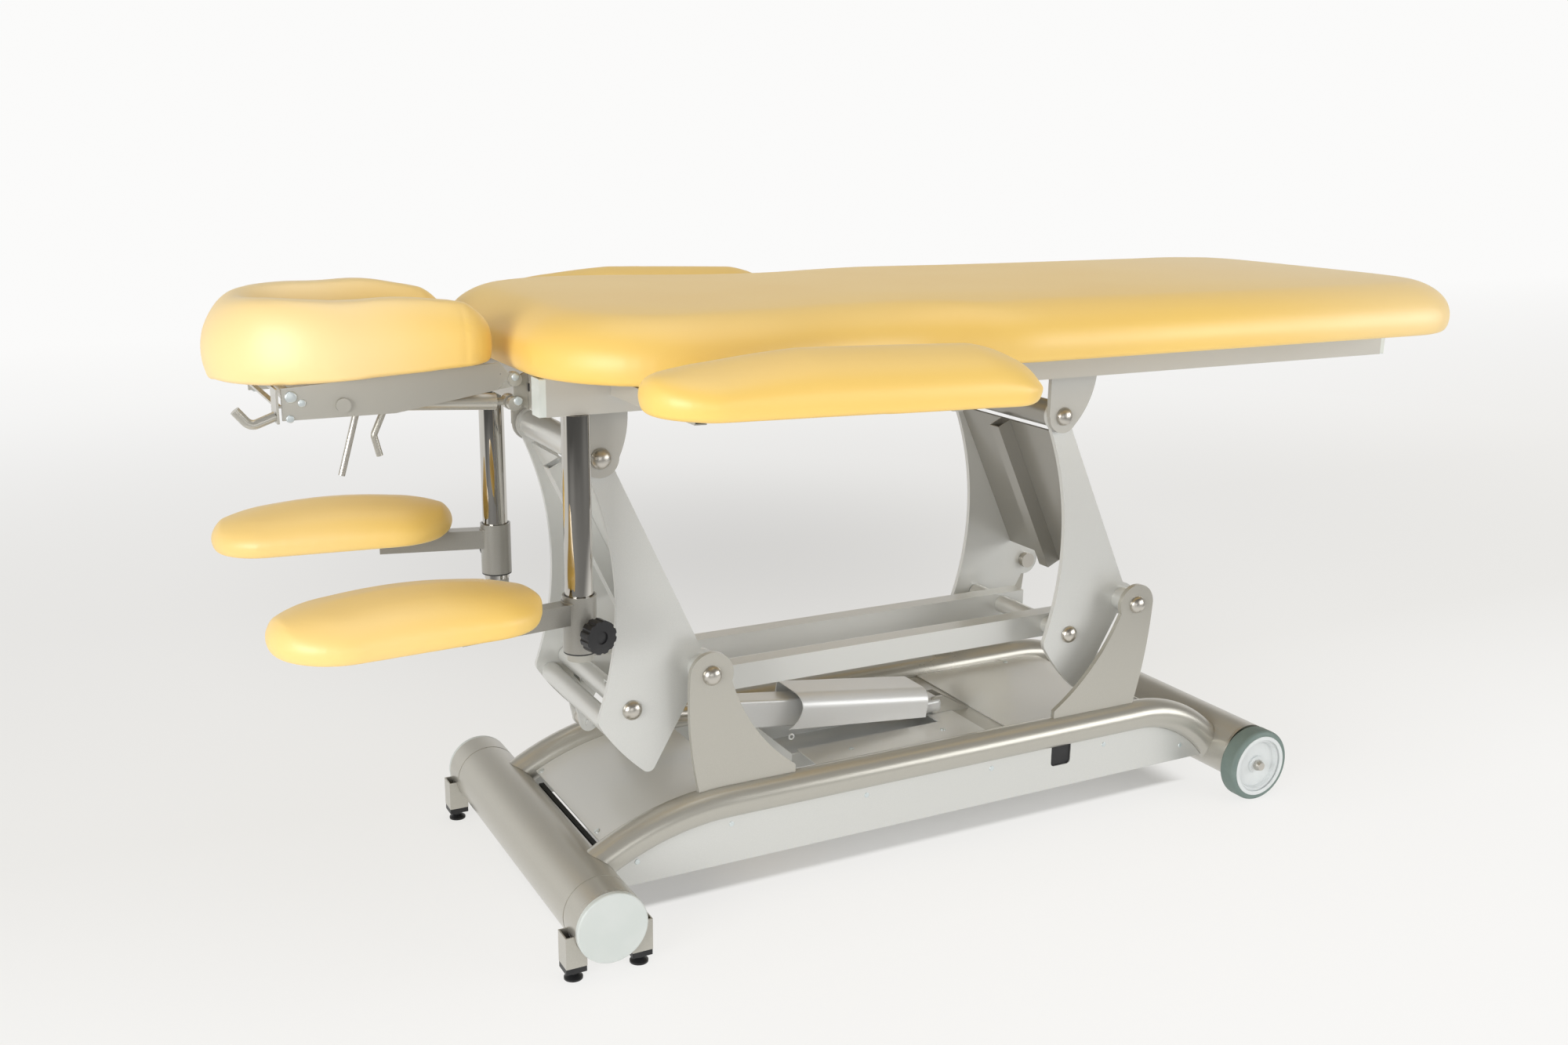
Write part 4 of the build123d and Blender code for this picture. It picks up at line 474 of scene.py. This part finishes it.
def arch(piece, centre, way, half, drop):
    """Bends a rest's top into one long arch: its middle line falls towards both ends by a share."""
    steps = 40
    belly_share = 0.3
    line = [0.0] * (steps + 1)
    floor = min(vertex.co.z for vertex in piece.data.vertices)
    spots = []
    for vertex in piece.data.vertices:
        along = max(-1.0, min(1.0, (vertex.co - centre).dot(way) / half))
        spot = (along + 1) / 2 * steps
        spots.append((along, spot))
        line[round(spot)] = max(line[round(spot)], vertex.co.z - floor)
    tall = max(line)
    for _ in range(3):
        line = [(line[max(0, at - 1)] + 2 * line[at] + line[min(steps, at + 1)]) / 4
                for at in range(steps + 1)]
    belly = belly_share * tall
    for vertex, (along, spot) in zip(piece.data.vertices, spots):
        height = vertex.co.z - floor
        if height > belly:
            at = min(steps - 1, int(spot))
            here = line[at] + (line[at + 1] - line[at]) * (spot - at)
            wanted = belly + (tall - belly) * (1 - drop * along * along)
            if here > wanted:
                vertex.co.z = floor + belly + (height - belly) * (wanted - belly) / (here - belly)


def make_cushion(name, node, body, voxel, cap, base, shape, bow=None, rounding=6):
    """A padded piece in a CAD solid's place: remeshed, swollen under its cover, then worked in detail."""
    piece = merged_copy(node, name)
    piece.data.remesh_voxel_size = voxel
    piece.data.use_remesh_preserve_volume = True
    bpy.ops.object.voxel_remesh()
    relax(piece, rounding)
    inflate(piece, cap, base)
    relax(piece, 3)
    if bow:
        arch(piece, *bow)
    for vertex in piece.data.vertices:
        vertex.co += shape(vertex.co, base(vertex.co))
    division = piece.modifiers.new("fine", "SUBSURF")
    division.levels = 1
    division.render_levels = 1
    apply_all(piece)
    bpy.ops.object.shade_smooth()
    settle(piece, body, "yellow_leatherette")
    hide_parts(node)


main_low, main_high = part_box("main_pad")


def main_base(place):
    """Height over the main pad's underside."""
    return place.z - main_low.z


def shape_main(place, height):
    """A gentle crown over the main pad, from its edge inwards and from a little over its board up."""
    crown = 0.004
    crown_from, crown_full = 0.03, 0.07
    if height < crown_from:
        return Vector((0, 0, 0))
    across = abs(place.y) / main_high.y
    along = abs(place.x - (main_low.x + main_high.x) / 2) / ((main_high.x - main_low.x) / 2)
    inwards = smooth(1 - max(across, along ** 3), 0, 1)
    return Vector((0, 0, crown * inwards * min(1.0, (height - crown_from) / (crown_full - crown_from))))


make_cushion("main_cushion", "main_pad", "top_frame", 0.009, 0.006, main_base, shape_main)

HEAD_TILT = math.radians(3.4)
HEAD_END_X = -0.993
HEAD_END_FLOOR = 0.796


def head_base(place):
    """Height over the head pad's tilted underside."""
    return ((place.z - HEAD_END_FLOOR) * math.cos(HEAD_TILT)
            - (place.x - HEAD_END_X) * math.sin(HEAD_TILT))


def shape_head(place, height):
    """The head pad's swollen outer end, its lower table end, and the pinch near that end."""
    seam_at, seam_width, seam_depth = 0.298, 0.0024, 0.0013
    on_a_side = abs(place.y) > 0.11
    along = place.x - HEAD_END_X
    pinch = seam_depth * math.exp(-((along - seam_at) / seam_width) ** 2)
    inward = Vector((0, -1 if place.y > 0 else 1, 0)) if on_a_side else Vector((0, 0, -1))
    rise = (0.01 * (1 - smooth(along, 0.06, 0.18)) - 0.014 * (1 - smooth(along, 0.0, 0.06))
            - 0.014 * smooth(along, 0.2, 0.33))
    if place.y > 0:
        rise += 0.006 * smooth(along, 0.05, 0.15) * (1 - smooth(along, 0.22, 0.32))
    return inward * pinch + Vector((0, 0, rise * smooth(height, 0.03, 0.09)))


make_cushion("head_cushion", "headrest_pad", "headrest", 0.005, 0.006, head_base, shape_head,
             rounding=30)

# The part of a rest's height over which its underside turns into its top
REST_TOP = (0.012, 0.045)


def lean(centre, way, half, slope, inner_drop, outer_drop):
    """Tips a rest's top along its arm, and lets its lower edge hang beside the tube at one end."""
    def shape(place, height):
        along = (place - centre).dot(way)
        across = (place - centre).cross(way).z
        share = (along / half + 1) / 2
        hang = -(inner_drop + (outer_drop - inner_drop) * share)
        beside = max(smooth(abs(across), 0.022, 0.05), smooth(along, 0.0, 0.05))
        top = smooth(height, *REST_TOP)
        return Vector((0, 0, along * slope * top + hang * beside * (1 - top)))
    return shape


def taper(tip):
    """Draws in and lowers the top of a side rest's foot end."""
    length, draw, drop = 0.12, 0.016, 0.014

    def shape(place, height):
        end = smooth(place.x, tip - length, tip)
        return Vector((-draw * end, 0, -drop * end * smooth(height, *REST_TOP)))
    return shape


LOWER_REST_HALF = 0.1775
for side, swing, slope, inner_drop, outer_drop in (("near", 8, 0.036, 0.011, 0.002),
                                                   ("far", -13.2, -0.031, 0.002, 0.013)):
    swing = math.radians(swing)
    rest_low, rest_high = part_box(f"lower_pad_{side}")
    centre = (rest_low + rest_high) / 2
    way = Vector((-math.cos(swing), -math.sin(swing), 0))
    make_cushion(f"lower_cushion_{side}", f"lower_pad_{side}", f"arm_{side}", 0.005, 0.005,
                 lambda place, floor=rest_low.z: place.z - floor,
                 lean(centre, way, LOWER_REST_HALF, slope, inner_drop, outer_drop),
                 bow=(centre, way, LOWER_REST_HALF, 0.6))

SIDE_REST_TILT = math.radians(1.5)
side_low, side_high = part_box("side_arm_pad_near")
side_half = (side_high.x - side_low.x) / 2
for side, centre_x, floor in (("near", -0.3275, 0.794), ("far", -0.172, 0.806)):
    make_cushion(f"side_cushion_{side}", f"side_arm_pad_{side}", f"side_rest_{side}", 0.006, 0.005,
                 lambda place, centre_x=centre_x, floor=floor:
                 place.z - floor + (place.x - centre_x) * math.sin(SIDE_REST_TILT),
                 taper(centre_x + side_half),
                 bow=(Vector((centre_x, 0, 0)), Vector((1, 0, 0)), side_half, 0.45))


# Small fittings

def pan_head(radius, height):
    """A pan-head screw that points up from the origin, with a driver recess."""
    screw = start_shape(bpy.ops.mesh.primitive_cylinder_add, vertices=24, radius=radius, depth=height,
                        location=(0, 0, height / 2))
    bpy.ops.object.mode_set(mode="EDIT")
    pick(screw, "faces", lambda face: face.normal.z > 0.9)
    bpy.ops.mesh.bevel(offset=height * 0.45, segments=3, affect="EDGES")
    pick(screw, "faces", lambda face: face.normal.z > 0.9 and face.calc_center_median().z > height * 0.9)
    bpy.ops.mesh.inset(thickness=radius * 0.25)
    bpy.ops.mesh.inset(thickness=radius * 0.03)
    bpy.ops.transform.translate(value=(0, 0, -height * 0.6))
    bpy.ops.object.mode_set(mode="OBJECT")
    shade_by_angle(screw, 35)
    return screw


def flat_ring(radius, hole, height):
    """A flat ring with broken edges, which points up from the origin."""
    ring = start_shape(bpy.ops.mesh.primitive_circle_add, vertices=48, radius=radius, fill_type="NGON",
                       location=(0, 0, 0))
    bpy.ops.object.mode_set(mode="EDIT")
    bpy.ops.mesh.select_all(action="SELECT")
    bpy.ops.mesh.inset(thickness=radius - hole)
    bpy.ops.mesh.delete(type="FACE")
    bpy.ops.mesh.select_all(action="SELECT")
    bpy.ops.mesh.extrude_region_move(TRANSFORM_OT_translate={"value": (0, 0, height)})
    bpy.ops.mesh.select_all(action="SELECT")
    bpy.ops.mesh.normals_make_consistent(inside=False)
    bpy.ops.object.mode_set(mode="OBJECT")
    round_edges(ring, height * 0.4)
    shade_by_angle(ring, 35)
    return ring


def bolt_dome(radius, rise):
    """The satin cap of a pivot bolt, which points up from the origin."""
    dome = start_shape(bpy.ops.mesh.primitive_uv_sphere_add, segments=48, ring_count=24, radius=radius,
                       location=(0, 0, 0))
    bpy.ops.object.mode_set(mode="EDIT")
    pick(dome, "verts", lambda vertex: vertex.co.z < -radius * 0.01)
    bpy.ops.mesh.delete(type="VERT")
    bpy.ops.mesh.select_all(action="DESELECT")
    bpy.ops.mesh.select_non_manifold()
    bpy.ops.mesh.edge_face_add()
    bpy.ops.object.mode_set(mode="OBJECT")
    dome.scale = (1, 1, rise / radius)
    apply_place(dome)
    shade_by_angle(dome, 40)
    return dome


def fit_copies(master, name, body, spots, finish):
    """Sets copies of a fitting at their places, each turned to point the given way."""
    for count, (spot, outward) in enumerate(spots, 1):
        turn = Vector(outward).to_track_quat("Z", "Y").to_matrix().to_4x4()
        twin = copy_piece(master, f"{name}_{count}", Matrix.Translation(spot) @ turn)
        settle(twin, body, "bright_steel", finish=finish)
    bpy.data.objects.remove(master)


def both_sides(places, y):
    """The same places on the near and the far side, pointing outwards."""
    return [((x, side * y, z), (0, side, 0)) for side, _ in SIDES for x, z in places]


def on_top(node, places):
    """Places on a node's upper face, found by looking straight down on it from above."""
    above, down = 0.4, Vector((0, 0, -1))
    found = []
    for x, y in places:
        hit, spot, normal, _ = frame["nodes"][node].ray_cast(Vector((x, y, above)), down)
        if hit and normal.z > 0.5:
            found.append((spot, normal))
    return found


# Screws: name, body, head radius, head height and places
for name, body, radius, height, spots in (
        ("skirt_screw", "base", 0.0042, 0.0018, both_sides([
            (-0.483, 0.094), (-0.333, 0.121), (-0.101, 0.12), (0.134, 0.119), (0.364, 0.118),
            (0.536, 0.085)], 0.178)),
        ("cover_screw", "base", 0.0042, 0.0018, on_top("base_covers", [
            (-0.517, 0.138), (-0.516, -0.105), (-0.078, -0.09), (0.159, 0.101), (0.098, -0.087),
            (0.185, -0.08), (0.389, 0.139), (0.389, -0.12), (-0.3, 0.135), (-0.3, -0.135), (0.545, 0.12),
            (0.545, -0.12)])),
        ("headrest_bolt", "headrest", 0.0075, 0.0045, both_sides([(-0.9087, 0.7867)], 0.13)),
        ("headrest_screw", "headrest", 0.005, 0.0032, both_sides([(-0.896, 0.779), (-0.911, 0.7605)], 0.13)),
        ("hinge_bolt", "headrest", 0.005, 0.0034, both_sides([(-0.627, 0.7955)], 0.135)),
        ("strut_bolt", "top_frame", 0.006, 0.0036, both_sides([(-0.6227, 0.763)], 0.1308))):
    fit_copies(pan_head(radius, height), name, body, spots, zinc_plate)

# The white rims of the wheels, which cover the inner part of the tyres' faces
WHEEL_X, WHEEL_Z, RIM_FACE = 0.6365, 0.0625, 0.266
for side, where in SIDES:
    fit_copies(flat_ring(0.0533, 0.0465, 0.0032), f"wheel_ring_{where}", f"wheel_{where}",
               [((WHEEL_X, side * RIM_FACE, WHEEL_Z), (0, side, 0))], white_plastic)

# The domes of the pivot bolts: name, body, places, and how far out the plate's face is
DOME_RADIUS, DOME_RISE = 0.0147, 0.0103
for name, body, places, face in (
        ("fin_dome", "base", [(0.414, 0.359), (-0.365, 0.359)], 0.1792),
        ("link_dome", "tie", [(0.3076, 0.3105), (-0.4714, 0.3105)], 0.1383),
        ("top_dome", "top_frame", [(0.2625, 0.6818), (-0.5165, 0.6818)], 0.1489)):
    fit_copies(bolt_dome(DOME_RADIUS, DOME_RISE), name, body, both_sides(places, face), bright_steel)


def skirt_slot_shade(side, where):
    """A black plate behind a skirt's hand slot: painted shade inside the slot."""
    plate = start_shape(bpy.ops.mesh.primitive_plane_add, size=1, location=(0.2735, side * 0.1745, 0.119),
                        rotation=(math.pi / 2, 0, 0))
    plate.scale = (0.05, 0.05, 1)
    apply_place(plate)
    add_thickness(plate, 0.0012)
    round_edges(plate, 0.0004)
    settle(plate, "base", "black_plastic", f"skirt_slot_shade_{where}")


for side, where in SIDES:
    skirt_slot_shade(side, where)


def motor_end():
    """The rounded end cap of the actuator's housing, a little larger than the end it covers."""
    hood_end, width, play = 0.092, 0.0475, 0.0015
    body_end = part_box("actuator_body")[1].x
    heights = [vertex.co.z for vertex in frame["nodes"]["actuator_body"].data.vertices
               if vertex.co.x > body_end - 0.03]
    low, high = min(heights), max(heights)
    cap = start_shape(bpy.ops.mesh.primitive_plane_add, size=1,
                      location=((body_end + hood_end) / 2, 0, (low + high) / 2))
    cap.scale = (body_end + play - hood_end, width, 1)
    apply_place(cap)
    add_thickness(cap, high - low + 2 * play)
    round_edges(cap, 0.009, 6)
    shade_by_angle(cap, 35)
    settle(cap, "actuator_housing", "brushed_hood", "motor_end")


motor_end()


def slot_tray():
    """A shallow sheet tray that closes the actuator's slot from below."""
    tray = start_shape(bpy.ops.mesh.primitive_cube_add, size=1, location=(-0.01, 0, 0.1445),
                       scale=(0.32, 0.122, 0.026))
    apply_place(tray)
    bpy.ops.object.mode_set(mode="EDIT")
    pick(tray, "faces", lambda face: face.normal.z > 0.9)
    bpy.ops.mesh.inset(thickness=0.0015)
    bpy.ops.mesh.extrude_region_move(TRANSFORM_OT_translate={"value": (0, 0, -0.0245)})
    bpy.ops.object.mode_set(mode="OBJECT")
    round_edges(tray, 0.0005)
    # The tray takes the covers' lighter sheet paint, which is painted light
    settle(tray, "base", "silver_paint", "actuator_tray", finish=cover_sheet_painted_light)


slot_tray()


def cover_apron():
    """The folded front edge of the base cover, which hangs behind the front tube; its black is painted shade
    of the gap behind the tube.
    """
    apron = start_shape(bpy.ops.mesh.primitive_plane_add, size=1, location=(-0.5155, 0, 0.094))
    apron.scale = (0.008, 0.29, 1)
    apply_place(apron)
    bpy.ops.object.mode_set(mode="EDIT")
    bpy.ops.mesh.select_mode(type="EDGE")
    pick(apron, "edges", lambda edge: all(vertex.co.x < -0.518 for vertex in edge.verts))
    for fold in ((0, 0, -0.052), (0.008, 0, 0)):
        bpy.ops.mesh.extrude_region_move(TRANSFORM_OT_translate={"value": fold})
    bpy.ops.mesh.select_mode(type="VERT")
    bpy.ops.object.mode_set(mode="OBJECT")
    add_thickness(apron, 0.0015, -1)
    round_edges(apron, 0.0005)
    # Black as painted shade of the gap behind the front tube
    settle(apron, "base", "black_plastic", "cover_apron")


cover_apron()


def weld_bead(name, body, centre, facing):
    """A rippled weld round a collar, where the arm's tube meets it."""
    steps, radius, half_angle, size = 14, 0.0232, 0.62, 0.0022
    drop = start_shape(bpy.ops.mesh.primitive_uv_sphere_add, segments=12, ring_count=8, radius=size)
    drops = []
    for count in range(steps + 1):
        angle = facing + half_angle * (2 * count / steps - 1)
        spot = Vector((centre[0] + radius * math.cos(angle), centre[1] + radius * math.sin(angle), centre[2]))
        stretch = Matrix.Rotation(angle, 4, "Z") @ Matrix.Diagonal((0.75, 1.3, 0.75, 1))
        drops.append(copy_piece(drop, f"{name}_{count}", Matrix.Translation(spot) @ stretch))
    bpy.data.objects.remove(drop)
    take(drops[0])
    for other in drops:
        other.select_set(True)
    bpy.ops.object.join()
    bead = bpy.context.object
    bead.data.remesh_voxel_size = size * 0.35
    bpy.ops.object.voxel_remesh()
    bpy.ops.object.shade_smooth()
    settle(bead, body, "silver_paint", name, finish=collar_and_shade_paint)


for side, y, swing, top in (("near", -0.184, 8, 0.4995), ("far", 0.184, -13.2, 0.5135)):
    weld_bead(f"arm_weld_{side}", f"arm_{side}", (-0.564, y, top), math.pi + math.radians(swing))


def hood_curl():
    """The rolled corner at the hood's lower near edge."""
    curl = start_shape(bpy.ops.mesh.primitive_torus_add, location=(-0.1645, -0.0485, 0.181),
                       rotation=(math.pi / 2, 0, 0), major_radius=0.0042, minor_radius=0.0013,
                       major_segments=28, minor_segments=10)
    bpy.ops.object.shade_smooth()
    settle(curl, "actuator_housing", "brushed_hood", "hood_curl")


hood_curl()


def beam_slot_shade():
    """A thin black plate for the small upright slot in the head crossbeam's face: painted shade inside the
    slot.
    """
    slot = start_shape(bpy.ops.mesh.primitive_cylinder_add, vertices=24, radius=0.0026, depth=0.0008,
                       location=(-0.6073, -0.129, 0.7785), rotation=(0, math.pi / 2, 0))
    bpy.ops.object.transform_apply(location=False, rotation=True, scale=True)
    bpy.ops.object.mode_set(mode="EDIT")
    pick(slot, "verts", lambda vertex: vertex.co.z > 0)
    bpy.ops.transform.translate(value=(0, 0, 0.006))
    bpy.ops.object.mode_set(mode="OBJECT")
    settle(slot, "top_frame", "black_plastic", "beam_slot_shade")


beam_slot_shade()


# Studio

def light_panel(name, place, aim, size, power):
    """A soft rectangular studio light that faces a point."""
    lamp = bpy.data.lights.new(name, "AREA")
    lamp.shape = "RECTANGLE"
    lamp.size, lamp.size_y = size
    lamp.energy = power
    stand = bpy.data.objects.new(name, lamp)
    scene.collection.objects.link(stand)
    stand.location = place
    stand.rotation_euler = (Vector(aim) - Vector(place)).to_track_quat("-Z", "Y").to_euler()


light_panel("key_panel", (-3.5, -2.0, 1.2), (-0.1, 0, 0.65), (2.0, 1.5), 86)
light_panel("fill_panel", (3.1, -2.9, 1.15), (0.2, 0, 0.6), (3.0, 1.5), 64)
light_panel("front_panel", (-0.85, -3.4, 0.75), (-0.7, 0, 0.8), (1.7, 1.0), 9)
light_panel("top_panel", (0.3, 0.2, 3.6), (0, 0, 0.5), (3.2, 2.4), 32)

floor = start_shape(bpy.ops.mesh.primitive_circle_add, vertices=96, radius=30, fill_type="NGON",
                    location=(0, 0, 0))
floor.name = "studio_floor"

# The floor is lit paper near the table and an even glow farther off, so that it meets the backdrop
BACKDROP = (0.965, 0.962, 0.955, 1)
ground = bpy.data.materials.new("studio_ground")
tree = fresh_tree(ground)
rays = add_node(tree, "ShaderNodeLightPath").outputs
place = object_place(tree)
depth = along_axis(tree, place, "Y")
away = add_node(tree, "ShaderNodeVectorMath", {0: place}, operation="LENGTH").outputs["Value"]

# Tones of the glow from the front to the back, with a darker band of painted shade from under the table to a
# few metres behind it
sweep = add_node(tree, "ShaderNodeValToRGB", {"Fac": remap(tree, depth, -1.2, 6.8)})
for spot, tone in ((0.1, (0.985, 0.98, 0.965)), (0.2, (0.88, 0.87, 0.845)), (0.35, (0.86, 0.85, 0.83)),
                   (0.62, (0.9, 0.895, 0.885))):
    sweep.color_ramp.elements.new(spot).color = (*tone, 1)
sweep.color_ramp.elements[0].color = (1.0, 0.995, 0.985, 1)
sweep.color_ramp.elements[-1].color = BACKDROP

# How much of the floor is glow: less close to the table, and least right under its base, which darkens the
# floor there as painted shade on top of the real shadow the paper keeps
seen = compute(tree, "MAXIMUM", rays["Is Camera Ray"], rays["Is Glossy Ray"])
share = compute(tree, "MULTIPLY", soft_step(tree, away, 1.8, 5.0, 0.8), remap(tree, seen, 0.0, 1.0, 0.5))
under = add_node(tree, "ShaderNodeVectorMath", {0: place, 1: (0.6, 0.15, 1)}, operation="DIVIDE")
under = add_node(tree, "ShaderNodeVectorMath", {0: under.outputs["Vector"]}, operation="ABSOLUTE")
under = under.outputs["Vector"]
edge = compute(tree, "MAXIMUM", along_axis(tree, under, "X"), along_axis(tree, under, "Y"))
share = compute(tree, "MULTIPLY", share, soft_step(tree, edge, 0.88, 1.0, 0.35))

# How bright the glow is: a painted shadow of the table on the floor behind it, and dark in front for what the
# chrome mirrors
from_shade = add_node(tree, "ShaderNodeVectorMath", {0: place, 1: (0.45, 1.5, 0)}, operation="DISTANCE")
shade = soft_step(tree, from_shade.outputs["Value"], 0.0, 1.5, 0.8)
dark = compute(tree, "MULTIPLY", soft_step(tree, away, 1.15, 1.9), soft_step(tree, depth, 0.6, -0.4))
dark = compute(tree, "MULTIPLY", dark, rays["Is Glossy Ray"])
strength = compute(tree, "MULTIPLY", remap(tree, dark, 0.0, 1.0, 1.0, 0.1), shade)

paper = add_node(tree, "ShaderNodeBsdfDiffuse", {"Color": (0.88, 0.875, 0.865, 1)})
glow = add_node(tree, "ShaderNodeEmission", {"Color": sweep.outputs["Color"], "Strength": strength})
mixed = add_node(tree, "ShaderNodeMixShader", {0: share, 1: paper.outputs[0], 2: glow.outputs[0]})
add_node(tree, "ShaderNodeOutputMaterial", {"Surface": mixed.outputs[0]})
floor.data.materials.append(ground)

# The air lights evenly, shows the backdrop, and gives the metal a room with a bright back wall to mirror
scene.world = bpy.data.worlds.new("studio_air")
tree = fresh_tree(scene.world)
rays = add_node(tree, "ShaderNodeLightPath").outputs
way = add_node(tree, "ShaderNodeTexCoord").outputs["Generated"]
toward_wall = soft_step(tree, along_axis(tree, way, "Y"), -0.1, 0.45)
under_ceiling = soft_step(tree, along_axis(tree, way, "Z"), 0.25, 0.6, 1.0, 0.25)
room = remap(tree, compute(tree, "MULTIPLY", toward_wall, under_ceiling), 0.0, 1.0, 0.14, 0.92)
lit = add_node(tree, "ShaderNodeBackground", {"Color": (1, 0.995, 0.98, 1), "Strength": 0.36})
mirrored = add_node(tree, "ShaderNodeBackground", {"Color": (1, 0.99, 0.97, 1), "Strength": room})
backdrop = add_node(tree, "ShaderNodeBackground", {"Color": BACKDROP, "Strength": 1.0})
seen = compute(tree, "MAXIMUM", rays["Is Camera Ray"], rays["Is Transmission Ray"])
mixed = add_node(tree, "ShaderNodeMixShader", {
    0: rays["Is Glossy Ray"], 1: lit.outputs[0], 2: mirrored.outputs[0]})
mixed = add_node(tree, "ShaderNodeMixShader", {0: seen, 1: mixed.outputs[0], 2: backdrop.outputs[0]})
add_node(tree, "ShaderNodeOutputWorld", {"Surface": mixed.outputs[0]})

# The photo's camera, fitted to its straight lines
CAMERA_PLACE = (-1.2296, -2.0107, 1.1002)
yaw, pitch, roll = math.radians(28.08), math.radians(14.28), math.radians(0.72)
lens = bpy.data.cameras.new("photo_camera")
lens.lens = 34.55
lens.sensor_width = 36.0
camera = bpy.data.objects.new("photo_camera", lens)
scene.collection.objects.link(camera)
scene.camera = camera
forward = Vector((math.sin(yaw) * math.cos(pitch), math.cos(yaw) * math.cos(pitch), -math.sin(pitch)))
level = Vector((math.cos(yaw), -math.sin(yaw), 0))
upright = level.cross(forward)
right = level * math.cos(roll) + upright * math.sin(roll)
upward = upright * math.cos(roll) - level * math.sin(roll)
turn = Matrix((right, upward, -forward)).transposed()
camera.matrix_world = Matrix.Translation(CAMERA_PLACE) @ turn.to_4x4()

scene.view_settings.view_transform = "Standard"
